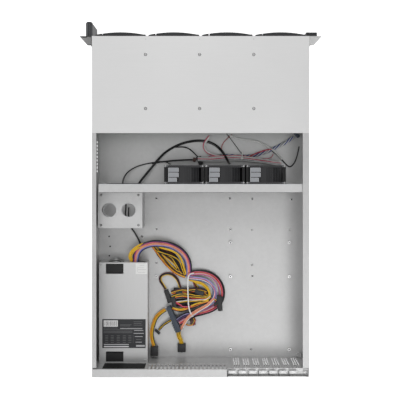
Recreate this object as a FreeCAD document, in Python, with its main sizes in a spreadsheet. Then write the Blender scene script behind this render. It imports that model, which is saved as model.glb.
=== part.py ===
import FreeCAD, Part

# A two-unit rackmount server case with its rear lid off. It is 435 mm wide between the
# rack ears and 683 mm deep. The origin is the middle of the underside, +Z is up, the
# front with its twelve drive carriers faces -Y, and all lengths are in millimetres.

import math
import os
import re

import Sketcher

from FreeCAD import Placement, Rotation, Vector

# ---------------------------------------------------------------- driving dimensions

SIZES = {
    # folded case: base, fixed front lid, rear wall
    "case_w": 435.0,
    "case_d": 683.0,
    "case_h": 88.0,
    "sheet": 1.2,
    "lid_d": 194.0,
    "lid_lip": 7.0,
    "flange_left": 8.7,
    "flange_right": 13.0,
    "flange_stop": 19.0,
    "vent_count": 9,
    "vent_pitch": 7.6,
    "vent_w": 4.2,
    "vent_h": 13.0,
    "vent_z": 19.0,
    "vent_start": 207.6,
    "play": 0.3,
    # rear wall, set in from the rear edge
    "rear_recess": 15.0,
    "rear_lip": 7.0,
    "rear_vent_count": 20,
    "rear_vent_pitch": 8.0,
    "rear_vent_w": 4.0,
    "rear_vent_h": 28.0,
    "rear_vent_z": 54.0,
    "io_w": 158.75,
    "io_h": 44.45,
    "io_z": 5.3,
    "io_side": 11.8,
    "io_border": 1.6,
    # mainboard mounting holes and expansion slots
    "board_x": 94.3,
    "board_gap": 18.0,
    "board_col_b": 157.48,
    "board_col_c": 281.94,
    "board_row_b": 154.94,
    "board_row_c": 227.33,
    "standoff_r": 3.4,
    "standoff_h": 6.5,
    "standoff_bore": 1.6,
    "slot_count": 7,
    "slot_pitch": 20.32,
    "slot_side": 10.5,
    "slot_open_w": 14.0,
    "slot_open_z": 6.0,
    "slot_open_top": 3.0,
    "slot_shelf": 80.0,
    "cover_w": 18.4,
    "cover_t": 0.8,
    "cover_foot": 0.8,
    "cover_slot_count": 3,
    "cover_slot_w": 2.4,
    "cover_slot_pitch": 4.6,
    "cover_slot_end": 4.0,
    "cover_tab": 12.2,
    "retainer_h": 18.0,
    "retainer_lip": 3.1,
    # drive cage, backplane and carriers
    "bay_cols": 4,
    "bay_rows": 3,
    "bay_pitch_x": 107.0,
    "bay_pitch_z": 28.4,
    "cage_d": 181.5,
    "cage_t": 1.2,
    "rail_reach": 3.0,
    "rail_t": 1.0,
    "carrier_w": 104.6,
    "carrier_h": 26.8,
    "carrier_d": 173.3,
    "carrier_t": 1.2,
    "carrier_rail_h": 20.0,
    "strap_d": 20.0,
    "tray_window_left": 14.0,
    "tray_window_right": 27.0,
    "tray_window_z": 6.0,
    "tray_window_h": 15.0,
    "bezel_w": 100.5,
    "bezel_h": 27.4,
    "bezel_r": 236.5,
    "bezel_out": 8.1,
    "latch_w": 13.0,
    "latch_gap": 1.5,
    "button_w": 7.0,
    "button_z": 9.0,
    "button_h": 10.0,
    "button_proud": 0.9,
    "lug_w": 6.0,
    "lug_t": 1.2,
    "lever_pivot": 1.35,
    "lever_knuckle": 0.9,
    "lever_back": 0.4,
    "lever_frame": 9.0,
    "lever_rim": 5.0,
    "board_t": 1.6,
    "socket_w": 42.0,
    "socket_d": 7.6,
    "socket_h": 6.0,
    "socket_side": 10.0,
    "socket_z": 4.0,
    "header_w": 22.0,
    "header_d": 9.0,
    "header_h": 10.0,
    "header_x": 2.0,
    "header_z": 13.0,
    "air_w": 31.0,
    "air_h": 18.0,
    "air_side": 46.0,
    "air_z": 5.0,
    # rack ears and what stands on them
    "ear_reach": 23.8,
    "ear_t": 2.0,
    "ear_edge": 0.5,
    "ear_side": 20.0,
    "ear_side_t": 1.6,
    "ear_slot_in": 8.75,
    "ear_slot_rise": 76.2,
    "ear_slot_l": 10.3,
    "ear_slot_r": 3.4,
    "pod_x": 1.0,
    "pod_w": 13.1,
    "pod_out": 31.5,
    "pod_z": 13.0,
    "pod_h": 62.0,
    "pod_round": 4.5,
    "power_r": 3.6,
    "power_gap": 0.3,
    "power_z": 62.0,
    "power_l": 6.0,
    "power_proud": 1.2,
    "power_deep": 7.0,
    "port_block_in": 4.0,
    "port_block_w": 21.6,
    "port_block_out": 10.0,
    "port_w": 6.4,
    "port_h": 14.0,
    "port_z": 16.7,
    "port_pitch": 25.5,
    "port_deep": 8.5,
    # fan wall and its three fans
    "wall_from_front": 296.3,
    "wall_w": 409.6,
    "wall_h": 82.8,
    "wall_flange": 16.7,
    "cable_gap_x": 123.0,
    "cable_gap_w": 68.0,
    "cable_gap_z": 12.0,
    "cable_gap_h": 60.0,
    "fan_count": 3,
    "fan_x": 33.4,
    "fan_z": 42.0,
    "fan_pitch": 82.4,
    "fan_side": 80.0,
    "fan_deep": 38.0,
    "fan_flange": 4.5,
    "fan_bore": 37.8,
    "fan_hub": 19.0,
    "fan_motor": 15.2,
    "fan_arm": 4.5,
    "fan_blades": 5,
    "fan_blade_in": 2.7,
    "fan_blade_d": 28.0,
    "fan_blade_rise": 11.8,
    "fan_blade_t": 0.8,
    "fan_camber": 42.0,
    "fan_shaft": 2.0,
    "fan_shaft_in": 1.4,
    "fan_window_w": 20.0,
    "fan_window_d": 6.0,
    "fan_window_side": 11.2,
    "fan_window_low": 12.0,
    "fan_window_in": 3.0,
    "fan_window_pitch": 9.0,
    "fan_play": 0.9,
    "shaft_play": 0.05,
    # power supply
    "psu_w": 100.4,
    "psu_d": 207.5,
    "psu_h": 40.8,
    "psu_t": 0.8,
    "psu_side": 6.1,
    "psu_fan_side": 38.6,
    "psu_fan_deep": 20.0,
    "psu_fan_flange": 3.0,
    "psu_fan_bore": 18.0,
    "psu_fan_hub": 9.5,
    "psu_fan_motor": 7.6,
    "psu_fan_arm": 3.0,
    "psu_fan_blades": 5,
    "psu_fan_blade_in": 1.4,
    "psu_fan_blade_d": 14.2,
    "psu_fan_blade_rise": 6.0,
    "psu_fan_blade_t": 0.8,
    "psu_fan_shaft": 1.0,
    "psu_fan_shaft_in": 0.9,
    "psu_fan_play": 0.6,
    "psu_fan_in": 32.2,
    "psu_grille_r": 17.4,
    "psu_cut_w": 36.4,
    "psu_cut_d": 21.0,
    "psu_cut_in": 2.4,
    "psu_lip_in": 30.0,
    "psu_lip_h": 6.0,
    "psu_bay_w": 86.0,
    "psu_bay_top": 83.0,
    "psu_exit_w": 30.0,
    "psu_exit_h": 20.0,
    "psu_exit_side": 5.0,
    "psu_exit_z": 12.0,
    "inlet_w": 27.4,
    "inlet_h": 19.8,
    "inlet_deep": 12.0,
    "inlet_side": 8.0,
    "inlet_z": 9.0,
    "inlet_wall": 2.0,
    # bridge for a small drive, behind the fan wall
    "bridge_side": 5.8,
    "bridge_w": 91.0,
    "bridge_d": 74.0,
    "bridge_h": 54.8,
    "bridge_hole_r": 14.6,
    "bridge_hole_pitch": 39.9,
    "bridge_hole_in": 22.8,
    "drive_hole_x": 76.6,
    "drive_hole_y": 61.72,
    "drive_hole_r": 1.7,
    "drive_hole_in": 6.4,
}

WORD = re.compile(r"[a-z][a-z_]*")

doc = FreeCAD.newDocument("server_case")
sheet = doc.addObject("Spreadsheet::Sheet", "dims")
for row, (alias, size) in enumerate(SIZES.items(), 1):
    sheet.set(f"A{row}", alias.replace("_", " "))
    sheet.set(f"B{row}", str(size))
    sheet.setAlias(f"B{row}", alias)
doc.recompute()

nodes = []


# ---------------------------------------------------------------- drawing helpers

def formula(text):
    """The same sum, with each size's name pointing at its cell."""
    return WORD.sub(lambda m: "dims." + m[0] if m[0] in SIZES else m[0], str(text))


def value(text):
    """What a sum of sizes comes to, as a number."""
    return float(sheet.evalExpression(formula(text)))


def count(alias):
    return int(value(alias))


def bind(thing, prop, text):
    thing.setExpression(prop, formula(text))


def place(thing, at):
    for axis, text in zip("xyz", at):
        bind(thing, f"Placement.Base.{axis}", text)


def block(x, y, z):
    """A box, from its low and high side along each axis."""
    made = doc.addObject("Part::Box", "Block")
    for prop, (low, high) in zip(("Length", "Width", "Height"), (x, y, z)):
        bind(made, prop, f"({high}) - ({low})")
    place(made, (x[0], y[0], z[0]))
    return made


UP_TURN = {
    "x": Rotation(Vector(0, 1, 0), 90),
    "y": Rotation(Vector(1, 0, 0), -90),
    "z": Rotation(),
}


def rod(axis, start, length, radius):
    """A round bar along one axis, from the middle of its first end."""
    made = doc.addObject("Part::Cylinder", "Rod")
    bind(made, "Radius", radius)
    bind(made, "Height", length)
    made.Placement = Placement(Vector(), UP_TURN[axis])
    place(made, start)
    return made


def bar(sides, axis, start, length, radius):
    """A bar of a regular many-sided section, with its corners at the radius."""
    made = doc.addObject("Part::Prism", "Bar")
    made.Polygon = sides
    bind(made, "Circumradius", radius)
    bind(made, "Height", length)
    made.Placement = Placement(Vector(), UP_TURN[axis])
    place(made, start)
    return made


def joined(pieces):
    made = doc.addObject("Part::MultiFuse", "Joined")
    made.Shapes = pieces
    made.Refine = True
    return made


def group(pieces):
    made = doc.addObject("Part::Compound", "Group")
    made.Links = pieces
    return made


def less(base, tools):
    """The base with every tool cut out of it."""
    made = doc.addObject("Part::Cut", "Less")
    made.Base = base
    made.Tool = group(tools)
    made.Refine = True
    return made


def copy_at(master, at):
    """One more of the same piece, moved to its own place."""
    made = group([master])
    place(made, at)
    return made


def node(label, thing):
    """Names a finished sub-part, which is then written to its own file."""
    thing.Label = label
    nodes.append(thing)
    return thing


def folded(name, plane, corners, low, high):
    """A PartDesign body: an outline on one origin plane, padded from low to high.

    A corner is its two coordinates, and a third value makes the edge that leaves it an
    arc of that radius: round a centre on the left of the way along, or on the right
    where the radius is negative.
    """
    body = doc.addObject("PartDesign::Body", name)
    sketch = body.newObject("Sketcher::SketchObject", name + "_outline")
    flat = [o for o in body.Origin.OriginFeatures if o.Role == plane + "_Plane"][0]
    sketch.AttachmentSupport = [(flat, "")]
    sketch.MapMode = "FlatFace"
    start = f"-({high})" if plane == "XZ" else low
    bind(sketch, "AttachmentOffset.Base.z", start)
    spots = [Vector(value(c[0]), value(c[1]), 0) for c in corners]
    edges = []
    for i, corner in enumerate(corners):
        here = spots[i]
        there = spots[(i + 1) % len(spots)]
        if len(corner) < 3:
            edges.append((sketch.addGeometry(Part.LineSegment(here, there)), 1, 2))
            continue
        left = not corner[2].startswith("-")
        ends = (here, there) if left else (there, here)
        radius = abs(value(corner[2]))
        chord = ends[1] - ends[0]
        inward = Vector(-chord.y, chord.x, 0).normalize()
        middle = (here + there) * 0.5 + inward * math.sqrt(radius**2 - (chord.Length / 2) ** 2)
        turns = [math.atan2(end.y - middle.y, end.x - middle.x) for end in ends]
        arc = Part.ArcOfCircle(Part.Circle(middle, Vector(0, 0, 1), radius), *turns)
        edge = sketch.addGeometry(arc)
        rule = sketch.addConstraint(Sketcher.Constraint("Radius", edge, radius))
        bind(sketch, f"Constraints[{rule}]", corner[2].lstrip("-"))
        edges.append((edge, 1, 2) if left else (edge, 2, 1))
    for i, (edge, start, end) in enumerate(edges):
        before = edges[i - 1]
        sketch.addConstraint(Sketcher.Constraint("Coincident", before[0], before[2], edge, start))
        for kind, text, spot in (
            ("DistanceX", corners[i][0], spots[i].x),
            ("DistanceY", corners[i][1], spots[i].y),
        ):
            rule = sketch.addConstraint(Sketcher.Constraint(kind, -1, 1, edge, start, spot))
            bind(sketch, f"Constraints[{rule}]", text)
    pad = body.newObject("PartDesign::Pad", name + "_pad")
    pad.Profile = sketch
    bind(pad, "Length", f"({high}) - ({low})")
    return body


# ---------------------------------------------------------------- shared places

HALF_W = "case_w / 2"
FRONT = "-case_d / 2"
REAR = "case_d / 2"
LID_UNDER = "(case_h - sheet)"
INSIDE_W = "(case_w / 2 - sheet)"
WALL_OUT = "(case_d / 2 - rear_recess)"
WALL_IN = "(case_d / 2 - rear_recess - sheet)"
LID_END = "(lid_d - case_d / 2)"
SLOT_EDGE = "(board_x + io_side - io_w)"
FAN_WALL = "(wall_from_front - case_d / 2)"
PSU_HIGH_X = "(case_w / 2 - sheet - psu_side)"
PSU_LOW_X = "(case_w / 2 - sheet - psu_side - psu_w)"
PSU_FRONT = "(case_d / 2 - rear_recess - sheet - psu_d)"
BASE_ROW = "(sheet + rail_t)"


def column_x(col):
    """Middle of a column of drive bays, counted from the +X side."""
    return f"((bay_cols - 1) / 2 - {col}) * bay_pitch_x"


def row_z(row):
    """Height of the rails that a row of carriers runs on, counted from the floor."""
    return f"({BASE_ROW} + {row} * bay_pitch_z)"


# ---------------------------------------------------------------- folded case

def chassis_base():
    """Floor, side walls, top flanges behind the lid, and the vents beside the fans."""
    trough = folded(
        "base_fold", "XZ",
        [
            (f"-{HALF_W}", "0"),
            (HALF_W, "0"),
            (HALF_W, LID_UNDER),
            (INSIDE_W, LID_UNDER),
            (INSIDE_W, "sheet"),
            (f"-{INSIDE_W}", "sheet"),
            (f"-{INSIDE_W}", LID_UNDER),
            (f"-{HALF_W}", LID_UNDER),
        ],
        FRONT, REAR,
    )
    top = (LID_UNDER, "case_h")
    along = (LID_END, f"{REAR} - flange_stop")
    left = block((f"{HALF_W} - flange_left", HALF_W), along, top)
    right = block((f"-{HALF_W}", f"flange_right - {HALF_W}"), along, top)
    vents = []
    for i in range(count("vent_count")):
        y = f"{FRONT} + vent_start + {i} * vent_pitch"
        across = (f"-{HALF_W} - 1", f"{HALF_W} + 1")
        vents.append(block(across, (y, f"{y} + vent_w"), ("vent_z", "vent_z + vent_h")))
    node("chassis_base", less(joined([trough, left, right]), vents))


def front_cover():
    """Fixed lid over the drive cage, with its rear edge folded down between the walls."""
    top = block((f"-{HALF_W}", HALF_W), (FRONT, LID_END), (LID_UNDER, "case_h"))
    lip = block(
        (f"play - {INSIDE_W}", f"{INSIDE_W} - play"),
        (f"{LID_END} - sheet", LID_END),
        (f"{LID_UNDER} - lid_lip", LID_UNDER),
    )
    node("front_cover", joined([top, lip]))


def slot_x(i):
    return f"(board_x - board_col_b - slot_side - {i} * slot_pitch)"


def rear_panel():
    """Rear wall with its top shelf, a lower shelf for the slot covers and all openings."""
    wall = (WALL_IN, WALL_OUT)
    tall = block((SLOT_EDGE, INSIDE_W), wall, ("sheet", LID_UNDER))
    low_top = "slot_shelf + sheet"
    low = block((f"-{INSIDE_W}", SLOT_EDGE), wall, ("sheet", low_top))
    shelf = block((SLOT_EDGE, HALF_W), (WALL_IN, REAR), (LID_UNDER, "case_h"))
    lip = block(
        (SLOT_EDGE, f"{INSIDE_W} - play"),
        (f"{REAR} - sheet", REAR),
        (f"{LID_UNDER} - rear_lip", LID_UNDER),
    )
    tab_shelf = block(
        (f"play - {INSIDE_W}", SLOT_EDGE), (WALL_IN, f"{REAR} - sheet"), ("slot_shelf", low_top)
    )
    web = block((SLOT_EDGE, f"{SLOT_EDGE} + sheet"), (WALL_IN, REAR), ("slot_shelf", "case_h"))
    through = (f"{WALL_IN} - 1", f"{WALL_OUT} + 1")
    holes = [
        block((SLOT_EDGE, f"{SLOT_EDGE} + io_w"), through, ("io_z", "io_z + io_h")),
        block(
            (f"{PSU_LOW_X} + psu_cut_in", f"{PSU_LOW_X} + psu_cut_in + psu_bay_w"),
            through, ("sheet + psu_cut_in", "psu_bay_top"),
        ),
    ]
    for i in range(count("slot_count")):
        side = (f"{slot_x(i)} - slot_open_w / 2", f"{slot_x(i)} + slot_open_w / 2")
        holes.append(block(side, through, ("slot_open_z", "slot_shelf - slot_open_top")))
    for i in range(count("rear_vent_count")):
        x = f"{SLOT_EDGE} + rear_vent_w / 2 + {i} * rear_vent_pitch"
        side = (x, f"{x} + rear_vent_w")
        holes.append(block(side, through, ("rear_vent_z", "rear_vent_z + rear_vent_h")))
    node("rear_panel", less(joined([tall, low, shelf, lip, tab_shelf, web]), holes))


def io_plate():
    """Blank plate that closes the input and output opening from inside."""
    node("io_plate", block(
        (f"{SLOT_EDGE} - io_border", f"{SLOT_EDGE} + io_w + io_border"),
        (f"{WALL_IN} - cover_t", WALL_IN),
        ("io_z - io_border", "io_z + io_h + io_border"),
    ))


def slot_covers():
    """Seven blank brackets, each vented and bent out over the shelf that holds it."""
    bend = folded(
        "cover_bend", "YZ",
        [
            (f"{WALL_IN} - cover_t", "sheet + cover_foot"),
            (WALL_IN, "sheet + cover_foot"),
            (WALL_IN, "slot_shelf + sheet"),
            (f"{WALL_IN} + cover_tab", "slot_shelf + sheet"),
            (f"{WALL_IN} + cover_tab", "slot_shelf + sheet + cover_t"),
            (f"{WALL_IN} - cover_t", "slot_shelf + sheet + cover_t"),
        ],
        "-cover_w / 2", "cover_w / 2",
    )
    slots = []
    for i in range(count("cover_slot_count")):
        middle = f"({i} - (cover_slot_count - 1) / 2) * cover_slot_pitch"
        slots.append(block(
            (f"{middle} - cover_slot_w / 2", f"{middle} + cover_slot_w / 2"),
            (f"{WALL_IN} - cover_t - 1", f"{WALL_IN} + 1"),
            ("slot_open_z + cover_slot_end", "slot_shelf - slot_open_top - cover_slot_end"),
        ))
    cover = less(bend, slots)
    rows = [copy_at(cover, (slot_x(i), "0", "0")) for i in range(count("slot_count"))]
    node("slot_covers", group(rows))


def slot_retainer():
    """Folded bar across the ends of the slot covers' tabs."""
    node("slot_retainer", folded(
        "retainer_fold", "YZ",
        [
            (f"{REAR} - sheet", "case_h - retainer_h"),
            (REAR, "case_h - retainer_h"),
            (REAR, "case_h"),
            (f"{REAR} - retainer_lip", "case_h"),
            (f"{REAR} - retainer_lip", LID_UNDER),
            (f"{REAR} - sheet", LID_UNDER),
        ],
        f"play - {INSIDE_W}", SLOT_EDGE,
    ))


def standoffs():
    """Nine hexagonal standoffs on the mainboard's hole pattern."""
    hexagon = bar(6, "z", ("0", "0", "0"), "standoff_h", "standoff_r")
    post = less(hexagon, [rod("z", ("0", "0", "-1"), "standoff_h + 2", "standoff_bore")])
    posts = []
    for across in ("0", "board_col_b", "board_col_c"):
        for along in ("0", "board_row_b", "board_row_c"):
            spot = (f"board_x - {across}", f"{WALL_IN} - board_gap - {along}", "sheet")
            posts.append(copy_at(post, spot))
    node("standoffs", group(posts))


# ---------------------------------------------------------------- drive bays

def drive_cage():
    """Floor sheet, upright walls between the columns, and rails for every row."""
    along = (FRONT, f"{FRONT} + cage_d")
    outer = "(bay_cols / 2 * bay_pitch_x + cage_t / 2)"
    pieces = [block((f"-{outer}", outer), along, ("sheet", BASE_ROW))]
    last = count("bay_cols")
    for wall in range(last + 1):
        x = f"(({wall} - bay_cols / 2) * bay_pitch_x)"
        pieces.append(block(
            (f"{x} - cage_t / 2", f"{x} + cage_t / 2"), along, ("sheet", LID_UNDER)
        ))
        low = "cage_t / 2" if wall == 0 else "(cage_t / 2 + rail_reach)"
        high = "cage_t / 2" if wall == last else "(cage_t / 2 + rail_reach)"
        for row in range(1, count("bay_rows")):
            pieces.append(block(
                (f"{x} - {low}", f"{x} + {high}"), along, (f"{row_z(row)} - rail_t", row_z(row))
            ))
    node("drive_cage", joined(pieces))


def backplane():
    """Circuit board behind the carriers, with a socket and an air window for each bay."""
    front = f"{FRONT} + cage_d"
    back = f"{front} + board_t"
    edge = "(bay_cols / 2 * bay_pitch_x - cage_t)"
    board = block((f"-{edge}", edge), (front, back), ("sheet + play", f"{LID_UNDER} - play"))
    sockets = []
    windows = []
    for col in range(count("bay_cols")):
        x = column_x(col)
        for row in range(count("bay_rows")):
            z = row_z(row)
            sockets.append(block(
                (f"{x} - socket_side", f"{x} - socket_side + socket_w"),
                (f"{front} - socket_d", front),
                (f"{z} + socket_z", f"{z} + socket_z + socket_h"),
            ))
            windows.append(block(
                (f"{x} - air_side", f"{x} - air_side + air_w"), (f"{front} - 1", f"{back} + 1"),
                (f"{z} + air_z", f"{z} + air_z + air_h"),
            ))
        sockets.append(block(
            (f"{x} + header_x", f"{x} + header_x + header_w"), (back, f"{back} + header_d"),
            (f"{z} + header_z", f"{z} + header_z + header_h"),
        ))
    node("backplane", less(joined([board] + sockets), windows))


ARC_MIDDLE = "(bezel_r - bezel_out)"


def arc_y(x):
    """How far in front of the case the bezel's curved face lies, at one x."""
    return f"({ARC_MIDDLE} - sqrt(bezel_r * bezel_r - ({x}) * ({x})))"


LATCH_X = "(bezel_w / 2 - latch_w)"
BEZEL_LOW = "(bay_pitch_z - rail_t - bezel_h) / 2 + play / 2"
LEVER_BACK = "(carrier_t + lever_back)"
PIVOT_X = "(lever_pivot - bezel_w / 2)"
PIVOT_Y = f"(-{LEVER_BACK} - lever_knuckle)"


def drive_tray():
    """Carrier for one drive: rails, straps, front plate, latch block and hinge lugs.

    Its own frame has x at the middle, y at the case's front edge and z on the rail.
    """
    half = "carrier_w / 2"
    z = ("play", "play + carrier_h")
    plate = block((f"-{half}", half), ("-carrier_t", "0"), z)
    window = block(
        ("tray_window_left - bezel_w / 2", "bezel_w / 2 - tray_window_right"),
        ("-carrier_t - 1", "1"), ("tray_window_z", "tray_window_z + tray_window_h"),
    )
    parts = []
    for side in (-1, 1):
        faces = sorted(
            (f"{side} * ({half} - carrier_t)", f"{side} * {half}"), key=value
        )
        parts.append(block(faces, ("0", "carrier_d"), ("play", "play + carrier_rail_h")))
    strap_z = ("play", "play + carrier_t")
    parts.append(block((f"-{half}", half), ("0", "strap_d"), strap_z))
    parts.append(block((f"-{half}", half), ("carrier_d - strap_d", "carrier_d"), strap_z))
    top = f"{BEZEL_LOW} + bezel_h"
    parts.append(folded(
        "latch_block", "XY",
        [
            ("bezel_w / 2", "-carrier_t"),
            (LATCH_X, "-carrier_t"),
            (LATCH_X, arc_y(LATCH_X), "bezel_r"),
            ("bezel_w / 2", arc_y("bezel_w / 2")),
        ],
        BEZEL_LOW, top,
    ))
    middle = "(bezel_w / 2 - latch_w / 2)"
    parts.append(block(
        (f"{middle} - button_w / 2", f"{middle} + button_w / 2"),
        (f"{arc_y(middle)} - button_proud", "-carrier_t"), ("button_z", "button_z + button_h"),
    ))
    lug_y = (f"{PIVOT_Y} - lever_knuckle", "-carrier_t")
    lug_x = ("-bezel_w / 2", "lug_w - bezel_w / 2")
    parts.append(block(lug_x, lug_y, (BEZEL_LOW, f"{BEZEL_LOW} + lug_t")))
    parts.append(block(lug_x, lug_y, (f"{top} - lug_t", top)))
    return joined([less(plate, [window])] + parts)


LEVER_LOW = f"({BEZEL_LOW} + lug_t + play)"
LEVER_TOP = f"({BEZEL_LOW} + bezel_h - lug_t - play)"


def tray_lever():
    """Curved lever that covers the carrier's front, with its knuckle at the -X end."""
    end = f"({LATCH_X} - latch_gap)"
    back = f"-{LEVER_BACK}"
    plate = folded(
        "lever_plate", "XY",
        [
            (end, back),
            (PIVOT_X, back),
            (PIVOT_X, arc_y(PIVOT_X), "bezel_r"),
            (end, arc_y(end)),
        ],
        LEVER_LOW, LEVER_TOP,
    )
    knuckle = rod(
        "z", (PIVOT_X, PIVOT_Y, LEVER_LOW), f"({LEVER_TOP}) - ({LEVER_LOW})", "lever_knuckle"
    )
    window = block(
        (f"{PIVOT_X} + lever_frame", f"{end} - lever_frame"), ("-bezel_out - 1", "0"),
        (f"{LEVER_LOW} + lever_rim", f"{LEVER_TOP} - lever_rim"),
    )
    return less(joined([plate, knuckle]), [window])


def drive_bays():
    tray = drive_tray()
    lever = tray_lever()
    for row in range(count("bay_rows")):
        for col in range(count("bay_cols")):
            spot = (column_x(col), FRONT, row_z(row))
            node(f"tray_{row + 1}_{col + 1}", copy_at(tray, spot))
            node(f"lever_{row + 1}_{col + 1}", copy_at(lever, spot))


# ---------------------------------------------------------------- rack ears

def rack_ear():
    """Ear for the +X side: front plate with rack slots, and a flange along the case."""
    tip = f"({HALF_W} + ear_reach)"
    slot_at = f"({tip} - ear_slot_in)"
    z = ("ear_edge", "case_h - ear_edge")
    plate = block((HALF_W, tip), (FRONT, f"{FRONT} + ear_t"), z)
    flange = block(
        (HALF_W, f"{HALF_W} + ear_side_t"), (f"{FRONT} + ear_t", f"{FRONT} + ear_side"), z
    )
    slots = []
    for side in (-1, 1):
        middle = f"(case_h / 2 + {side} * ear_slot_rise / 2)"
        reach = "(ear_slot_l / 2 - ear_slot_r)"
        y = (f"{FRONT} - 1", f"{FRONT} + ear_t + 1")
        slots.append(block(
            (f"{slot_at} - {reach}", f"{slot_at} + {reach}"), y,
            (f"{middle} - ear_slot_r", f"{middle} + ear_slot_r"),
        ))
        for end in (-1, 1):
            start = (f"{slot_at} + {end} * {reach}", y[0], middle)
            slots.append(rod("y", start, "ear_t + 2", "ear_slot_r"))
    return less(joined([plate, flange]), [joined(slots)])


def rack_ears():
    left = node("left_ear", rack_ear())
    right = doc.addObject("Part::Mirroring", "Right")
    right.Source = left
    right.Normal = Vector(1, 0, 0)
    node("right_ear", right)


def control_pod():
    """Upright grip on the left ear, rounded at the front, with the power button in it."""
    x = (f"{HALF_W} + pod_x", f"{HALF_W} + pod_x + pod_w")
    face = f"({FRONT} - pod_out)"
    pod = folded(
        "pod_grip", "XY",
        [(x[0], FRONT), (x[0], face), (x[1], face), (x[1], FRONT)],
        "pod_z", "pod_z + pod_h",
    )
    doc.recompute()
    pad = pod.Tip
    front_y = value(face)
    fronts = []
    for i, edge in enumerate(pad.Shape.Edges, 1):
        ends = [v.Point for v in edge.Vertexes]
        upright = abs(ends[0].z - ends[1].z) > value("pod_h") / 2
        if upright and abs(ends[0].y - front_y) < value("play"):
            fronts.append(f"Edge{i}")
    rounding = pod.newObject("PartDesign::Fillet", "pod_rounding")
    rounding.Base = (pad, fronts)
    bind(rounding, "Radius", "pod_round")
    middle = f"{HALF_W} + pod_x + pod_w / 2"
    bore = rod("y", (middle, f"{face} - 1", "power_z"), "power_deep + 1", "power_r + power_gap")
    node("control_pod", less(pod, [bore]))
    node("power_button", rod("y", (middle, f"{face} - power_proud", "power_z"), "power_l", "power_r"))


def port_block():
    """Black block on the right ear with two upright sockets in its face."""
    inner = f"(port_block_in - {HALF_W})"
    outer = f"({inner} - port_block_w)"
    face = f"({FRONT} - port_block_out)"
    shell = block((outer, inner), (face, FRONT), ("pod_z", "pod_z + pod_h"))
    middle = f"({inner} - port_block_w / 2)"
    ports = []
    for i in range(2):
        z = f"(pod_z + port_z + {i} * port_pitch)"
        ports.append(block(
            (f"{middle} - port_w / 2", f"{middle} + port_w / 2"),
            (f"{face} - 1", f"{face} + port_deep"), (z, f"{z} + port_h"),
        ))
    node("port_block", less(shell, ports))


# ---------------------------------------------------------------- fans

def fan_frame(kind, windows):
    """Square frame round a bore, with a motor mount on four arms across its back.

    Its own frame has the axis along y and the intake face at y = 0. With windows, its
    sides are open between two flanges and show a round body with that many slots.
    """
    half = f"{kind}_side / 2"
    deep = f"{kind}_deep"
    flange = f"{kind}_flange"
    square = (f"-{half}", half)
    cuts = [rod("y", ("0", "-1", "0"), f"{deep} + 2", f"{kind}_bore")]
    if windows:
        body = joined([
            block(square, ("0", flange), square),
            block(square, (f"{deep} - {flange}", deep), square),
            bar(16, "y", ("0", "0", "0"), deep, half),
        ])
    else:
        body = block(square, ("0", deep), square)
    for i in range(windows):
        x = f"{kind}_window_side"
        y = f"({flange} + {kind}_window_in + {i} * {kind}_window_pitch)"
        cuts.append(block(
            (x, f"{x} + {kind}_window_w"), (y, f"{y} + {kind}_window_d"),
            (f"{kind}_window_low", half),
        ))
    arm_y = (f"{deep} - {flange}", deep)
    arm = f"{kind}_arm / 2"
    reach = f"({kind}_bore + play)"
    mount = joined([
        rod("y", ("0", arm_y[0], "0"), flange, f"{kind}_motor"),
        block((f"-{reach}", reach), arm_y, (f"-{arm}", arm)),
        block((f"-{arm}", arm), arm_y, (f"-{reach}", reach)),
    ])
    bearing = rod("y", ("0", f"{arm_y[0]} - 1", "0"), f"{flange} + 2", f"{kind}_shaft + shaft_play")
    return joined([less(body, cuts), less(mount, [bearing])])


def fan_rotor(kind, cambered):
    """Hub, shaft and pitched blades, in the same frame as the fan's own frame.

    Cambered blades end in a round tip that follows the bore, and flat ones are square.
    """
    front = f"{kind}_blade_in"
    back = f"({kind}_blade_in + {kind}_blade_d)"
    rise = f"{kind}_blade_rise"
    crest = f"({rise} + {kind}_blade_t)"
    outline = [
        (f"{front} + play", rise),
        (f"{back} - play", f"-{rise}"),
        (f"{back} - play", f"{kind}_blade_t - {rise}"),
        (f"{front} + play", crest),
    ]
    if cambered:
        outline[0] += (f"-{kind}_camber",)
        outline[2] += (f"{kind}_camber",)
    root = f"(sqrt({kind}_hub * {kind}_hub - {crest} * {crest}) - play)"
    reach = f"({kind}_bore - {kind}_play)"
    corner = f"sqrt({reach} * {reach} - {crest} * {crest})"
    blade = folded(f"{kind}_blade", "YZ", outline, root, reach if cambered else corner)
    if cambered:
        wing = blade
        room = rod("y", ("0", front, "0"), f"{kind}_blade_d", reach)
        blade = doc.addObject("Part::MultiCommon", "Blade")
        blade.Shapes = [wing, room]
    parts = [
        rod("y", ("0", front, "0"), f"{kind}_blade_d", f"{kind}_hub"),
        rod("y", ("0", back, "0"), f"{kind}_deep - {kind}_shaft_in - {back}", f"{kind}_shaft"),
    ]
    for i in range(count(f"{kind}_blades")):
        turned = group([blade])
        turned.Placement = Placement(Vector(), Rotation(Vector(0, 1, 0), 0))
        turned.setExpression("Placement.Rotation.Angle", formula(f"{i} * 360 / {kind}_blades"))
        parts.append(turned)
    return joined(parts)


def case_fans():
    frame = fan_frame("fan", 3)
    rotor = fan_rotor("fan", True)
    frames = []
    for i in range(count("fan_count")):
        spot = (f"fan_x - {i} * fan_pitch", f"{FAN_WALL} - fan_deep", "fan_z")
        frames.append(copy_at(frame, spot))
        node(f"fan_rotor_{i + 1}", copy_at(rotor, spot))
    node("fan_frames", group(frames))


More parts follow.
